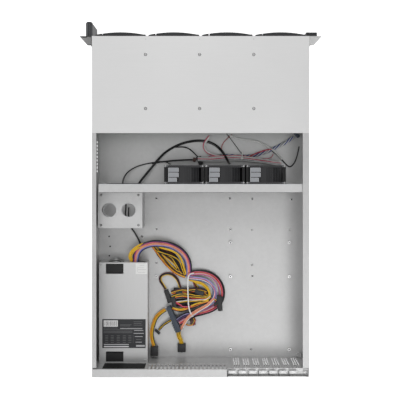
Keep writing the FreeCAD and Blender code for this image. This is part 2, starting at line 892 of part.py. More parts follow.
def fan_wall():
    """Cross wall behind the fans, folded back at top and foot, open where cables pass."""
    top = "(sheet + wall_h)"
    back = f"({FAN_WALL} + sheet)"
    end = f"({FAN_WALL} + wall_flange)"
    fold = folded(
        "wall_fold", "YZ",
        [
            (FAN_WALL, "sheet"),
            (end, "sheet"),
            (end, "2 * sheet"),
            (back, "2 * sheet"),
            (back, f"{top} - sheet"),
            (end, f"{top} - sheet"),
            (end, top),
            (FAN_WALL, top),
        ],
        "-wall_w / 2", "wall_w / 2",
    )
    through = (f"{FAN_WALL} - 1", f"{back} + 1")
    cuts = [block(
        ("cable_gap_x", "cable_gap_x + cable_gap_w"), through,
        ("cable_gap_z", "cable_gap_z + cable_gap_h"),
    )]
    for i in range(count("fan_count")):
        start = (f"fan_x - {i} * fan_pitch", through[0], "fan_z")
        cuts.append(rod("y", start, "sheet + 2", "fan_bore"))
    node("fan_wall", less(fold, cuts))


# ---------------------------------------------------------------- power supply

def psu():
    """Power supply: open-topped housing, lid with two fan cut-outs, two small fans."""
    x = (PSU_LOW_X, PSU_HIGH_X)
    y = (PSU_FRONT, WALL_IN)
    low = "sheet"
    under = "(sheet + psu_h - psu_t)"
    outside = block(x, y, (low, under))
    inner_x = (f"{x[0]} + psu_t", f"{x[1]} - psu_t")
    inner_y = (f"{y[0]} + psu_t", f"{y[1]} - psu_t")
    inside = block(inner_x, inner_y, (f"{low} + psu_t", f"{under} + 1"))
    fan_x = f"({PSU_HIGH_X} - psu_fan_in)"
    fan_z = "(sheet + psu_t + play + psu_fan_side / 2)"
    inlet_x = f"({PSU_LOW_X} + inlet_side)"
    inlet_low = "(sheet + inlet_z)"
    exit_x = f"({PSU_LOW_X} + psu_exit_side)"
    exit_z = "(sheet + psu_exit_z)"
    cuts = [
        rod("y", (fan_x, f"{y[0]} - 1", fan_z), "psu_t + 2", "psu_grille_r"),
        rod("y", (fan_x, f"{y[1]} - psu_t - 1", fan_z), "psu_t + 2", "psu_grille_r"),
        block(
            (exit_x, f"{exit_x} + psu_exit_w"), (f"{y[0]} - 1", f"{y[0]} + psu_t + 1"),
            (exit_z, f"{exit_z} + psu_exit_h"),
        ),
        inside,
    ]
    shell = less(outside, cuts)
    hollow_x = (f"{inlet_x} + inlet_wall", f"{inlet_x} + inlet_w - inlet_wall")
    hollow_z = (f"{inlet_low} + inlet_wall", f"{inlet_low} + inlet_h - inlet_wall")
    inlet = less(
        block(
            (inlet_x, f"{inlet_x} + inlet_w"), (f"{y[1]} - psu_t - inlet_deep", y[1]),
            (inlet_low, f"{inlet_low} + inlet_h"),
        ),
        [block(hollow_x, (f"{y[1]} - inlet_deep", f"{y[1]} + 1"), hollow_z)],
    )
    pocket = block(hollow_x, (f"{y[1]} - psu_t - 1", f"{y[1]} + 1"), hollow_z)
    node("psu_housing", joined([less(shell, [pocket]), inlet]))

    lid = block(x, y, (under, f"{under} + psu_t"))
    lips = []
    for side in (f"{inner_x[0]} + play", f"{inner_x[1]} - play - psu_t"):
        lips.append(block(
            (side, f"{side} + psu_t"), (f"{y[0]} + psu_lip_in", f"{y[1]} - psu_lip_in"),
            (f"{under} - psu_lip_h", under),
        ))
    openings = []
    for start in (f"{y[0]} + psu_cut_in", f"{y[1]} - psu_cut_in - psu_cut_d"):
        openings.append(block(
            (f"{fan_x} - psu_cut_w / 2", f"{fan_x} + psu_cut_w / 2"),
            (start, f"{start} + psu_cut_d"), (f"{under} - 1", f"{under} + psu_t + 1"),
        ))
    node("psu_cover", less(joined([lid] + lips), openings))

    frame = fan_frame("psu_fan", 0)
    rotor = fan_rotor("psu_fan", False)
    front = (fan_x, f"{inner_y[0]} + play", fan_z)
    rear = (fan_x, f"{inner_y[1]} - play - psu_fan_deep", fan_z)
    node("psu_fan_frames", group([copy_at(frame, front), copy_at(frame, rear)]))
    node("psu_rotor_front", copy_at(rotor, front))
    node("psu_rotor_rear", copy_at(rotor, rear))


# ---------------------------------------------------------------- small drive bridge

def drive_bridge():
    """Inverted U behind the fan wall, with a small drive's screw holes in its top."""
    high_x = f"({INSIDE_W} - bridge_side)"
    low_x = f"({INSIDE_W} - bridge_side - bridge_w)"
    top = "(sheet + bridge_h)"
    front = f"({FAN_WALL} + wall_flange)"
    back = f"({FAN_WALL} + wall_flange + bridge_d)"
    fold = folded(
        "bridge_fold", "XZ",
        [
            (low_x, "sheet"),
            (f"{low_x} + sheet", "sheet"),
            (f"{low_x} + sheet", f"{top} - sheet"),
            (f"{high_x} - sheet", f"{top} - sheet"),
            (f"{high_x} - sheet", "sheet"),
            (high_x, "sheet"),
            (high_x, top),
            (low_x, top),
        ],
        front, back,
    )
    start_z = f"{top} - sheet - 1"
    middle_y = f"({front} + {back}) / 2"
    cuts = []
    for i in range(2):
        x = f"{high_x} - bridge_hole_in - {i} * bridge_hole_pitch"
        cuts.append(rod("z", (x, middle_y, start_z), "sheet + 2", "bridge_hole_r"))
    for across in ("0", "drive_hole_x"):
        for side in (-1, 1):
            spot = (
                f"{high_x} - drive_hole_in - {across}",
                f"{middle_y} + {side} * drive_hole_y / 2", start_z,
            )
            cuts.append(rod("z", spot, "sheet + 2", "drive_hole_r"))
    node("drive_bridge", less(fold, cuts))


# ---------------------------------------------------------------- cables

def tube(name, points, diameter):
    """A cable along straight runs joined by tangent arcs, as large as the runs allow."""
    spots = [Vector(*p) for p in points]
    edges = []
    radii = []
    at = spots[0]
    for before, corner, after in zip(spots, spots[1:], spots[2:]):
        run_in = corner - before
        run_out = after - corner
        back = 0.45 * min(run_in.Length, run_out.Length)
        radius = back / math.tan(run_in.getAngle(run_out) / 2)
        start = corner - run_in.normalize() * back
        end = corner + run_out.normalize() * back
        inward = ((start + end) * 0.5 - corner).normalize()
        middle = corner + inward * (math.hypot(radius, back) - radius)
        edges.append(Part.LineSegment(at, start).toShape())
        edges.append(Part.Arc(start, middle, end).toShape())
        radii.append(radius)
        at = end
    edges.append(Part.LineSegment(at, spots[-1]).toShape())
    path = Part.Wire(edges)
    section = Part.Wire(Part.makeCircle(diameter / 2, spots[0], spots[1] - spots[0]))
    solid = path.makePipeShell([section], True, False)
    expected = math.pi * diameter**2 / 4 * path.Length
    print(
        f"{name}: {path.Length:.0f} mm long, tightest arc {min(radii):.0f} mm, "
        f"{solid.Volume / expected:.3f} of its section times its length"
    )
    return solid


def cable(label, diameter, points):
    made = doc.addObject("Part::Feature", "Cable")
    made.Shape = tube(label, points, diameter)
    node(label, made)


def plug(middle, turn, size):
    """Connector body: a box about its middle, turned about the vertical."""
    made = doc.addObject("Part::Box", "Plug")
    made.Length, made.Width, made.Height = size
    spin = Rotation(Vector(0, 0, 1), turn)
    corner = Vector(-size[0] / 2, -size[1] / 2, -size[2] / 2)
    made.Placement = Placement(Vector(*middle) + spin.multVec(corner), spin)
    return made


def cables():
    """Leads of the power supply and the fans, laid as they were left in the empty case."""
    cable("psu_harness", 9, [
        (131, 126, 23), (131, 104, 25), (122, 88, 25), (105, 79, 24), (83, 80, 21),
        (60, 86, 16), (41, 98, 10), (28, 116, 7), (23, 140, 6.2),
    ])
    cable("board_lead", 8, [
        (16, 142, 6.5), (-4, 141, 6), (-23, 147, 5.5), (-38, 161, 5.5), (-46, 182, 5.5),
        (-43, 205, 5.5), (-28, 221, 6), (-6, 229, 7), (15, 233, 9), (31, 242.6, 11),
        (47.3, 249.9, 11.5),
    ])
    cable("inner_harness", 7, [
        (101, 85.5, 17.5), (92, 97, 11), (82, 112, 6.5), (70, 127, 5), (57, 139, 5),
        (44, 147.5, 5), (32, 152, 5.2),
    ])
    cable("cpu_lead", 6, [
        (74.8, 222, 9), (84.5, 228, 7), (95, 238.5, 4.7), (102, 255.5, 4.5),
        (104.8, 274.5, 6.5), (102.6, 287, 10), (98.6, 297.6, 12.2),
    ])
    cable("spare_lead", 5, [
        (74.4, 179, 6.2), (80.5, 169.5, 4.6), (86.3, 161.5, 3.9), (85.5, 152.5, 3.9),
        (77, 146.5, 3.9), (66, 146.5, 3.9), (54.5, 152.5, 4.3), (47.5, 163, 5.6),
        (43.5, 176, 8),
    ])
    cable("aux_lead", 5, [
        (55.4, 266.1, 8), (51, 274.6, 7.5), (43, 283.5, 7), (40.6, 294.2, 6),
    ])
    cable("drive_lead", 6, [
        (20, 149, 5), (15, 166, 4.5), (4, 181, 4.6), (-11, 192, 8), (-32.8, 202.8, 14),
    ])
    cable("fan_lead_left", 3, [
        (124, 96, 15), (129, 81, 9), (137, 65, 4.5), (147.5, 49.5, 3.2), (157, 36.5, 3),
        (161, 22, 3), (159, 7, 3.4), (158.5, -8, 6), (162, -26, 12), (166, -46, 17),
        (159, -66, 13), (142, -79, 6), (121, -86, 3.2), (98, -90, 3), (78, -92, 6),
        (69, -89, 26), (66, -86.5, 50), (61, -85.6, 74),
    ])
    cable("fan_lead_right", 3, [
        (139, -26, 8), (132, -44, 16.5), (117, -63, 11), (103, -80, 7.6), (87, -100, 7.4),
        (74, -113, 3.2), (56, -124, 3), (32, -133, 3), (4, -137, 3), (-22, -133, 3.2), (-42, -119, 6),
        (-54, -98, 20), (-58, -87.5, 46), (-59, -85.6, 74),
    ])
    cable("ribbon_lead", 4, [
        (-5, -94, 3.6), (-27, -103, 3.4), (-56, -106, 3.4), (-86, -103, 3.4),
        (-114, -102, 3.6), (-140, -107, 3.4), (-165, -119, 3.4), (-184, -134, 4),
        (-197, -145.5, 5),
    ])
    plugs = []
    for middle, turn, size in (
        ((57, 241, 11.5), 113.6, (56, 10, 20)),
        ((98, 308.5, 13), 0, (16, 19, 10)),
        ((40.5, 303.5, 6), 0, (17, 17, 9)),
        ((-40, 207, 14), 5, (10, 32, 7)),
        ((69.5, 194, 6.2), 107.8, (28, 9, 9)),
        ((8, 207, 5.6), 25, (22, 10, 8)),
        ((1, -91.5, 5), 20, (10, 12, 7)),
        ((-203, -149.5, 5.5), 40, (7, 14, 8)),
    ):
        plugs.append(plug(middle, turn, size))
    node("lead_plugs", group(plugs))


# ---------------------------------------------------------------- build and write

chassis_base()
front_cover()
rear_panel()
io_plate()
slot_covers()
slot_retainer()
standoffs()
drive_cage()
backplane()
drive_bays()
rack_ears()
control_pod()
port_block()
fan_wall()
case_fans()
psu()
drive_bridge()
cables()
doc.recompute()

for thing in doc.Objects:
    if "Invalid" in thing.State or "Error" in thing.State:
        raise RuntimeError(f"{thing.Name} ({thing.Label}) failed: {thing.State}")
for thing in nodes:
    if thing.Shape.isNull() or not thing.Shape.isValid() or not thing.Shape.Solids:
        raise RuntimeError(f"{thing.Label} has no valid solid")

os.makedirs("parts", exist_ok=True)
for thing in nodes:
    thing.Shape.exportStep(f"parts/{thing.Label}.step")
print(f"{len(nodes)} sub-parts written")
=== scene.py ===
import math
import random

import bmesh
import bpy
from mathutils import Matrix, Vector


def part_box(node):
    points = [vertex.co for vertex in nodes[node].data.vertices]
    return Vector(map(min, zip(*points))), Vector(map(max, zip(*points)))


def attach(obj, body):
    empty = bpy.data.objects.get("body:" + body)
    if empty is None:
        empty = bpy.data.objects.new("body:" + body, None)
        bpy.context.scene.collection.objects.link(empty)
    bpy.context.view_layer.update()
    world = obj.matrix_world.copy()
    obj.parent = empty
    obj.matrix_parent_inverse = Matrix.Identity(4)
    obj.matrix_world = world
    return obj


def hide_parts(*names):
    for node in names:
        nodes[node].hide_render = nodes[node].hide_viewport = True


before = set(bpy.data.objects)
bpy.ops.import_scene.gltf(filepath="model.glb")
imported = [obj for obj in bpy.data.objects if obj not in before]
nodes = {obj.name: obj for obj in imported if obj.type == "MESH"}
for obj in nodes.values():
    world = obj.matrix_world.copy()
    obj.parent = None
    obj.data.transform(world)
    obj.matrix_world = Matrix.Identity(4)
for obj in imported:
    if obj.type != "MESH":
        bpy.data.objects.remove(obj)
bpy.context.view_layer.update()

MM = 0.001


def box(name):
    """Low and high corner of one solid, in millimetres."""
    low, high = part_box(name)
    return low / MM, high / MM


# ---------------------------------------------------------------- finishes

class Tone:
    """A number or colour inside a finish, on which sums can be written."""

    def __init__(self, finish, socket):
        self.finish = finish
        self.socket = socket

    def __add__(self, other):
        return self.finish.sum("ADD", self, other)

    __radd__ = __add__

    def __sub__(self, other):
        return self.finish.sum("SUBTRACT", self, other)

    def __rsub__(self, other):
        return self.finish.sum("SUBTRACT", other, self)

    def __mul__(self, other):
        return self.finish.sum("MULTIPLY", self, other)

    __rmul__ = __mul__

    def __gt__(self, other):
        return self.finish.sum("GREATER_THAN", self, other)

    def __lt__(self, other):
        return self.finish.sum("LESS_THAN", self, other)

    def size(self):
        return self.finish.sum("ABSOLUTE", self)

    def wave(self):
        return self.finish.sum("SINE", self)


class Finish:
    """A procedural material, read in the piece's own object coordinates."""

    def __init__(self, name, colour, roughness=0.5, metallic=0.0):
        self.material = bpy.data.materials.new(name)
        self.material.use_nodes = True
        self.nodes = self.material.node_tree.nodes
        self.links = self.material.node_tree.links
        self.shader = self.nodes["Principled BSDF"]
        self.material.diffuse_color = (*colour, 1)
        self.feed("Base Color", colour)
        self.feed("Roughness", roughness)
        self.feed("Metallic", metallic)

    def feed(self, socket, value, node=None):
        """Sets or links one socket, of the shader where no node is named."""
        target = (node or self.shader).inputs[socket]
        if isinstance(value, Tone):
            self.links.new(value.socket, target)
        elif hasattr(value, "__len__") and len(value) == 3 and target.type == "RGBA":
            target.default_value = (*value, 1)
        else:
            target.default_value = value
        return self

    def node(self, kind, output=0, settings=None, inputs=None):
        """Any node: its settings first, then the values or links of its sockets."""
        made = self.nodes.new(kind)
        for name, value in (settings or {}).items():
            setattr(made, name, value)
        for name, value in (inputs or {}).items():
            self.feed(name, value, made)
        return Tone(self, made.outputs[output])

    def sum(self, operation, first, second=None):
        inputs = {0: first}
        if second is not None:
            inputs[1] = second
        return self.node("ShaderNodeMath", settings={"operation": operation}, inputs=inputs)

    def place(self):
        return self.node("ShaderNodeTexCoord", output="Object")

    def axes(self):
        """X, Y and Z of the object coordinates, in millimetres."""
        split = self.nodes.new("ShaderNodeSeparateXYZ")
        self.links.new(self.place().socket, split.inputs[0])
        return [Tone(self, split.outputs[i]) * (1 / MM) for i in range(3)]

    def stretched(self, scale):
        return self.node(
            "ShaderNodeMapping", inputs={"Vector": self.place(), "Scale": Vector(scale)}
        )

    def noise(self, scale, detail=2.0, rough=0.5, at=None):
        inputs = {"Vector": at or self.place(), "Scale": scale, "Detail": detail}
        inputs["Roughness"] = rough
        return self.node("ShaderNodeTexNoise", output="Fac", inputs=inputs)

    def cells(self, scale, at=None):
        inputs = {"Vector": at or self.place(), "Scale": scale}
        return self.node("ShaderNodeTexVoronoi", output="Color", inputs=inputs)

    def span(self, value, low, high, start=0.0, end=1.0):
        inputs = {
            "Value": value, "From Min": low, "From Max": high, "To Min": start, "To Max": end,
        }
        return self.node("ShaderNodeMapRange", settings={"clamp": True}, inputs=inputs)

    def between(self, factor, first, second):
        """A colour that goes from the first to the second."""
        made = self.nodes.new("ShaderNodeMix")
        made.data_type = "RGBA"
        self.feed(0, factor, made)
        self.feed(6, first, made)
        self.feed(7, second, made)
        return Tone(self, made.outputs[2])

    def bump(self, height, distance, strength=1.0):
        inputs = {"Height": height, "Distance": distance, "Strength": strength}
        self.feed("Normal", self.node("ShaderNodeBump", output="Normal", inputs=inputs))
        return self


def grey(level, warm=0.0):
    return (level * (1 + warm), level, level * (1 - warm))


def sheet_metal(name, level, dark=0.86, metallic=0.55, roughness=0.42):
    """Galvanised or pickled sheet: faint spangle, roll grain and cloudy roughness."""
    finish = Finish(name, grey(level), roughness, metallic)
    clouds = finish.noise(9.0, 3.0)
    spangle = finish.node(
        "ShaderNodeSeparateColor", inputs={"Color": finish.cells(160.0)}
    )
    grain = finish.noise(40.0, 3.0, 0.6, finish.stretched((1, 22, 22)))
    mix = finish.span(clouds, 0.3, 0.7) * 0.5 + spangle * 0.25 + grain * 0.25
    finish.feed("Base Color", finish.between(mix, grey(level * dark), grey(level)))
    finish.feed("Roughness", roughness - 0.06 + grain * 0.08 + clouds * 0.05)
    return finish.bump(grain, 0.00003, 0.25).material


def lid_metal():
    """The front lid: smooth bright sheet with a soft roll grain."""
    finish = Finish("lid_sheet", grey(0.7), 0.4, 0.45)
    grain = finish.noise(30.0, 3.0, 0.6, finish.stretched((1, 26, 26)))
    clouds = finish.noise(5.0, 2.0)
    finish.feed("Base Color", finish.between(grain * 0.4 + clouds * 0.6, grey(0.66), grey(0.75)))
    finish.feed("Roughness", 0.36 + grain * 0.1)
    return finish.bump(grain, 0.00002, 0.2).material


def painted(name, level, roughness=0.45):
    """Powder paint: a fine even orange peel."""
    finish = Finish(name, grey(level), roughness, 0.0)
    peel = finish.noise(900.0, 2.0)
    worn = finish.noise(60.0, 3.0)
    finish.feed("Base Color", finish.between(worn, grey(level * 0.92), grey(level * 1.06)))
    finish.feed("Roughness", roughness - 0.05 + worn * 0.1)
    return finish.bump(peel, 0.00005, 0.35).material


def moulded(name, colour, roughness=0.5, texture=0.4):
    """Moulded plastic with a fine spark-eroded grain."""
    finish = Finish(name, colour, roughness, 0.0)
    grain = finish.noise(1400.0, 2.0)
    clouds = finish.noise(40.0, 2.0)
    darker = tuple(c * 0.86 for c in colour)
    finish.feed("Base Color", finish.between(clouds, darker, colour))
    finish.feed("Roughness", roughness - 0.06 + clouds * 0.12)
    return finish.bump(grain, 0.00004, texture).material


def carrier_metal():
    """Carriers: bare sheet behind, black moulded front from the case's face forwards."""
    finish = Finish("carrier", grey(0.6), 0.4, 0.5)
    depth = finish.axes()[1]
    front_y = box("chassis_base")[0].y - 0.05
    plastic = depth < front_y
    clouds = finish.noise(12.0, 3.0)
    grain = finish.noise(1400.0, 2.0)
    steel = finish.between(clouds, grey(0.5), grey(0.6))
    finish.feed("Base Color", finish.between(plastic, steel, grey(0.018)))
    finish.feed("Roughness", 0.38 + plastic * 0.12 + clouds * 0.06)
    finish.feed("Metallic", 0.6 - plastic * 0.6)
    return finish.bump(grain * plastic, 0.00004, 0.4).material


def brushed_cover():
    """The supply's lid: brushed along its length, with painted shade that makes it darker towards
    the rear.
    """
    finish = Finish("supply_lid", grey(0.55), 0.38, 0.55)
    low, high = box("psu_cover")
    depth = finish.axes()[1]
    way = finish.span(depth, low.y, high.y)
    grain = finish.noise(60.0, 3.0, 0.6, finish.stretched((24, 1, 24)))
    # Painted shade: the base colour runs from lighter at the front to darker at the rear.
    shade = finish.between(way, grey(0.62), grey(0.46))
    finish.feed("Base Color", finish.between(grain * 0.35, shade, grey(0.4)))
    finish.feed("Roughness", 0.33 + grain * 0.14)
    return finish.bump(grain, 0.00003, 0.3).material


def solder_mask():
    """Green board with slightly raised copper tracks."""
    finish = Finish("solder_mask", (0.012, 0.09, 0.04), 0.3, 0.0)
    x, _, z = finish.axes()
    tracks = ((x * 1.3).wave() * (z * 0.9).wave()).size() > 0.82
    patches = finish.noise(35.0, 2.0)
    base = finish.between(patches, (0.01, 0.07, 0.03), (0.016, 0.11, 0.05))
    finish.feed("Base Color", finish.between(tracks * 0.6, base, (0.05, 0.2, 0.09)))
    return finish.bump(tracks, 0.00003, 0.3).material


def turned_steel():
    """Posts and bosses: bright plated steel with fine turning rings."""
    finish = Finish("turned_steel", grey(0.7), 0.26, 0.8)
    rings = finish.noise(700.0, 2.0, 0.5, finish.stretched((1, 1, 30)))
    finish.feed("Base Color", finish.between(rings, grey(0.55), grey(0.85)))
    return finish.bump(rings, 0.00002, 0.3).material


def insulation(name, colour):
    """Wire insulation: soft sheen with a faint print-free extrusion grain."""
    finish = Finish(name, colour, 0.42, 0.0)
    drawn = finish.noise(260.0, 2.0)
    darker = tuple(c * 0.72 for c in colour)
    finish.feed("Base Color", finish.between(drawn, darker, colour))
    finish.feed("Roughness", 0.36 + drawn * 0.14)
    return finish.bump(drawn, 0.00004, 0.3).material


def bright_screw():
    finish = Finish("plated_screw", grey(0.55), 0.28, 0.85)
    worn = finish.noise(500.0, 2.0)
    finish.feed("Base Color", finish.between(worn, grey(0.42), grey(0.62)))
    finish.feed("Roughness", 0.22 + worn * 0.16)
    return finish.material


def paper(name, colour):
    """Printed-field label stock with a soft fibre."""
    finish = Finish(name, colour, 0.6, 0.0)
    fibre = finish.noise(900.0, 3.0)
    finish.feed("Base Color", finish.between(fibre, tuple(c * 0.93 for c in colour), colour))
    return finish.bump(fibre, 0.00002, 0.3).material


ZINC = sheet_metal("zinc_sheet", 0.56)
WALL_ZINC = sheet_metal("wall_sheet", 0.6)
LID = lid_metal()
# Lit and shaded copies of one ear finish: painted shade on the left ear, painted light on the
# right ear.
EAR_DARK = painted("ear_paint_dark", 0.035)
EAR_LIGHT = painted("ear_paint_light", 0.5)
BEZEL = moulded("bezel_plastic", (0.014, 0.015, 0.017), 0.5)
POD = moulded("pod_plastic", (0.022, 0.024, 0.027), 0.5)
FAN_BLACK = moulded("fan_plastic", (0.012, 0.012, 0.014), 0.42)
ROTOR_BLACK = moulded("rotor_plastic", (0.018, 0.018, 0.02), 0.36)
CARRIER = carrier_metal()
COVER = brushed_cover()
BOARD = solder_mask()
POST = turned_steel()
SCREW = bright_screw()
NYLON_BLACK = moulded("plug_black", (0.012, 0.012, 0.014), 0.45)
NYLON_SLATE = moulded("plug_slate", (0.05, 0.065, 0.09), 0.5)
NYLON_BROWN = moulded("plug_brown", (0.09, 0.045, 0.035), 0.5)
TIE_WHITE = moulded("tie_white", (0.78, 0.78, 0.76), 0.4)
LABEL_WHITE = paper("label_white", (0.75, 0.75, 0.74))
LABEL_DARK = paper("label_dark", (0.02, 0.021, 0.024))
INK = {
    "white": paper("ink_white", (0.8, 0.8, 0.8)),
    "pale": paper("ink_pale", (0.42, 0.42, 0.43)),
    "soft": paper("ink_soft", (0.13, 0.13, 0.135)),
    "black": paper("ink_black", (0.02, 0.02, 0.02)),
}
# Near-black used as painted shade in holes, gaps, seams, dimples and between the fans, and as the
# chips' own black.
SHADE = moulded("dark_recess", (0.004, 0.004, 0.0045), 0.8)
# A near-black sheet finish, used as painted shade in the opening above the supply.
BLACK_PAINT = painted("black_plate", 0.006, 0.7)
DUCT = moulded("fan_duct", (0.3, 0.31, 0.33), 0.5)
FAN_EDGE = moulded("fan_edge", (0.06, 0.062, 0.066), 0.45)
# Pale grey used as painted highlight on the fan windows' edges, the fan wall's fold and the
# bridge's cable-hole rims.
EDGE_LIGHT = moulded("pale_edge", (0.62, 0.63, 0.65), 0.4)
# Light grey used as a painted highlight along the levers' seam.
SEAM_LIGHT = moulded("lever_seam", (0.4, 0.4, 0.42), 0.4)
# Lighter grey used as painted highlight on the pod's top ridges, and as the colour of its grip
# ribs.
POD_EDGE = moulded("pod_edge", (0.12, 0.125, 0.135), 0.4)
GROMMET = moulded("edge_guard", (0.09, 0.09, 0.095), 0.5)
LENS = moulded("smoked_lens", (0.05, 0.09, 0.07), 0.15)
# The fan plastic darkened as painted shade for the supply's fans, which sit inside its housing.
SUPPLY_BLACK = moulded("supply_fan_plastic", (0.004, 0.004, 0.0045), 0.6)
WIRE = {
    name: insulation("wire_" + name, colour)
    for name, colour in {
        "black": (0.008, 0.008, 0.009),
        "yellow": (0.85, 0.52, 0.02),
        "orange": (0.8, 0.2, 0.025),
        "red": (0.5, 0.02, 0.03),
        "peach": (0.85, 0.36, 0.22),
        "pink": (0.75, 0.12, 0.2),
        "maroon": (0.13, 0.02, 0.02),
        "teal": (0.03, 0.17, 0.22),
        "purple": (0.12, 0.05, 0.2),
        "lilac": (0.36, 0.32, 0.6),
        "blue": (0.07, 0.1, 0.35),
        "grey": (0.42, 0.43, 0.47),
        "white": (0.8, 0.8, 0.79),
    }.items()
}


def dress(material, *names):
    """Gives solids their finish, in place of the plain one they come with."""
    for name in names:
        slots = nodes[name].data.materials
        slots.clear()
        slots.append(material)


def dress_solids():
    dress(ZINC, "chassis_base", "drive_cage")
    dress(WALL_ZINC, "rear_panel", "fan_wall", "io_plate", "drive_bridge")
    dress(WALL_ZINC, "slot_covers", "slot_retainer", "psu_housing")
    dress(LID, "front_cover")
    # Painted shade tone on the left ear, painted light tone on the right ear.
    dress(EAR_DARK, "left_ear")
    dress(EAR_LIGHT, "right_ear")
    dress(POD, "control_pod")
    dress(BEZEL, "port_block", "power_button")
    dress(COVER, "psu_cover")
    dress(BOARD, "backplane")
    dress(POST, "standoffs")
    for name in nodes:
        if name.startswith("tray_"):
            dress(CARRIER, name)
        elif name.startswith("lever_"):
            dress(BEZEL, name)
        # The supply's fans get the darker, painted-shade copy of the fan plastic.
        elif name.startswith(("psu_fan", "psu_rotor")):
            dress(SUPPLY_BLACK, name)
        elif name == "fan_frames":
            dress(FAN_BLACK, name)
        elif name.startswith("fan_rotor"):
            dress(ROTOR_BLACK, name)


# ---------------------------------------------------------------- modelling helpers

def clear():
    if bpy.context.object and bpy.context.object.mode != "OBJECT":
        bpy.ops.object.mode_set(mode="OBJECT")
    bpy.ops.object.select_all(action="DESELECT")


def only(*pieces):
    clear()
    for piece in pieces:
        piece.select_set(True)
    bpy.context.view_layer.objects.active = pieces[0]


def settle(piece, name, material=None):
    """The finished piece sits at the origin with its place in its mesh."""
    only(piece)
    bpy.ops.object.transform_apply(location=True, rotation=True, scale=True)
    piece.name = name
    piece.data.name = name
    if material:
        piece.data.materials.clear()
        piece.data.materials.append(material)
    return piece


def applied(piece, kind, **settings):
    only(piece)
    modifier = piece.modifiers.new("step", kind)
    for name, value in settings.items():
        setattr(modifier, name, value)
    bpy.ops.object.modifier_apply(modifier=modifier.name)
    return piece


def brick(low, high, edge=0.4, turn=0.0, segments=2):
    """A box with softened edges, from its low and high corner in millimetres."""
    low, high = Vector(low), Vector(high)
    clear()
    bpy.ops.mesh.primitive_cube_add(size=1, location=(low + high) / 2 * MM)
    made = bpy.context.object
    made.scale = (high - low) * MM
    made.rotation_euler.z = math.radians(turn)
    only(made)
    bpy.ops.object.transform_apply(location=False, rotation=False, scale=True)
    return applied(made, "BEVEL", width=edge * MM, segments=segments)


UPRIGHT_TO = {"x": (0, math.pi / 2, 0), "y": (math.pi / 2, 0, 0), "z": (0, 0, 0)}


def disc(radius, depth, axis="z", sides=32, edge=0.0, at=(0, 0, 0)):
    """A short round bar about its middle, with its rim softened."""
    clear()
    bpy.ops.mesh.primitive_cylinder_add(
        vertices=sides, radius=radius * MM, depth=depth * MM,
        location=Vector(at) * MM, rotation=UPRIGHT_TO[axis],
    )
    made = bpy.context.object
    if edge:
        applied(made, "BEVEL", width=edge * MM, segments=2, limit_method="ANGLE")
    return made


def ring(radius, wire, axis="z", sides=40, at=(0, 0, 0)):
    clear()
    bpy.ops.mesh.primitive_torus_add(
        major_radius=radius * MM, minor_radius=wire * MM, major_segments=sides,
        minor_segments=8, location=Vector(at) * MM, rotation=UPRIGHT_TO[axis],
    )
    return bpy.context.object


def joined(pieces, name, material=None):
    only(*pieces)
    if len(pieces) > 1:
        bpy.ops.object.join()
    return settle(bpy.context.object, name, material)


def copied(piece, shift, name, turn=0.0):
    """Another of the same piece, moved and perhaps turned, with a mesh of its own."""
    made = piece.copy()
    made.data = piece.data.copy()
    bpy.context.scene.collection.objects.link(made)
    made.location = Vector(shift) * MM
    made.rotation_euler.z = math.radians(turn)
    return settle(made, name)


def smooth(piece, angle=35):
    only(piece)
    bpy.ops.object.shade_smooth_by_angle(angle=math.radians(angle))
    return piece


def carried(piece, body="case"):
    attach(piece, body)
    return piece


def screw_head(radius, height, axis="z"):
    """Flat head with a cross recess cut into its face."""
    head = disc(radius, height, sides=24, edge=0.2)
    reach, half = radius * 0.6, 0.34
    for turn in (0, 90):
        arm = brick((-reach, -half, height * 0.2), (reach, half, height + 1), 0.05, turn, 1)
        applied(head, "BOOLEAN", object=arm, operation="DIFFERENCE", solver="EXACT")
        bpy.data.objects.remove(arm)
    if axis == "x":
        head.rotation_euler.y = math.radians(90)
    elif axis == "y":
        head.rotation_euler.x = math.radians(-90)
    return smooth(settle(head, "screw_head"))


# ---------------------------------------------------------------- leads

FULL_TURN = 6.28

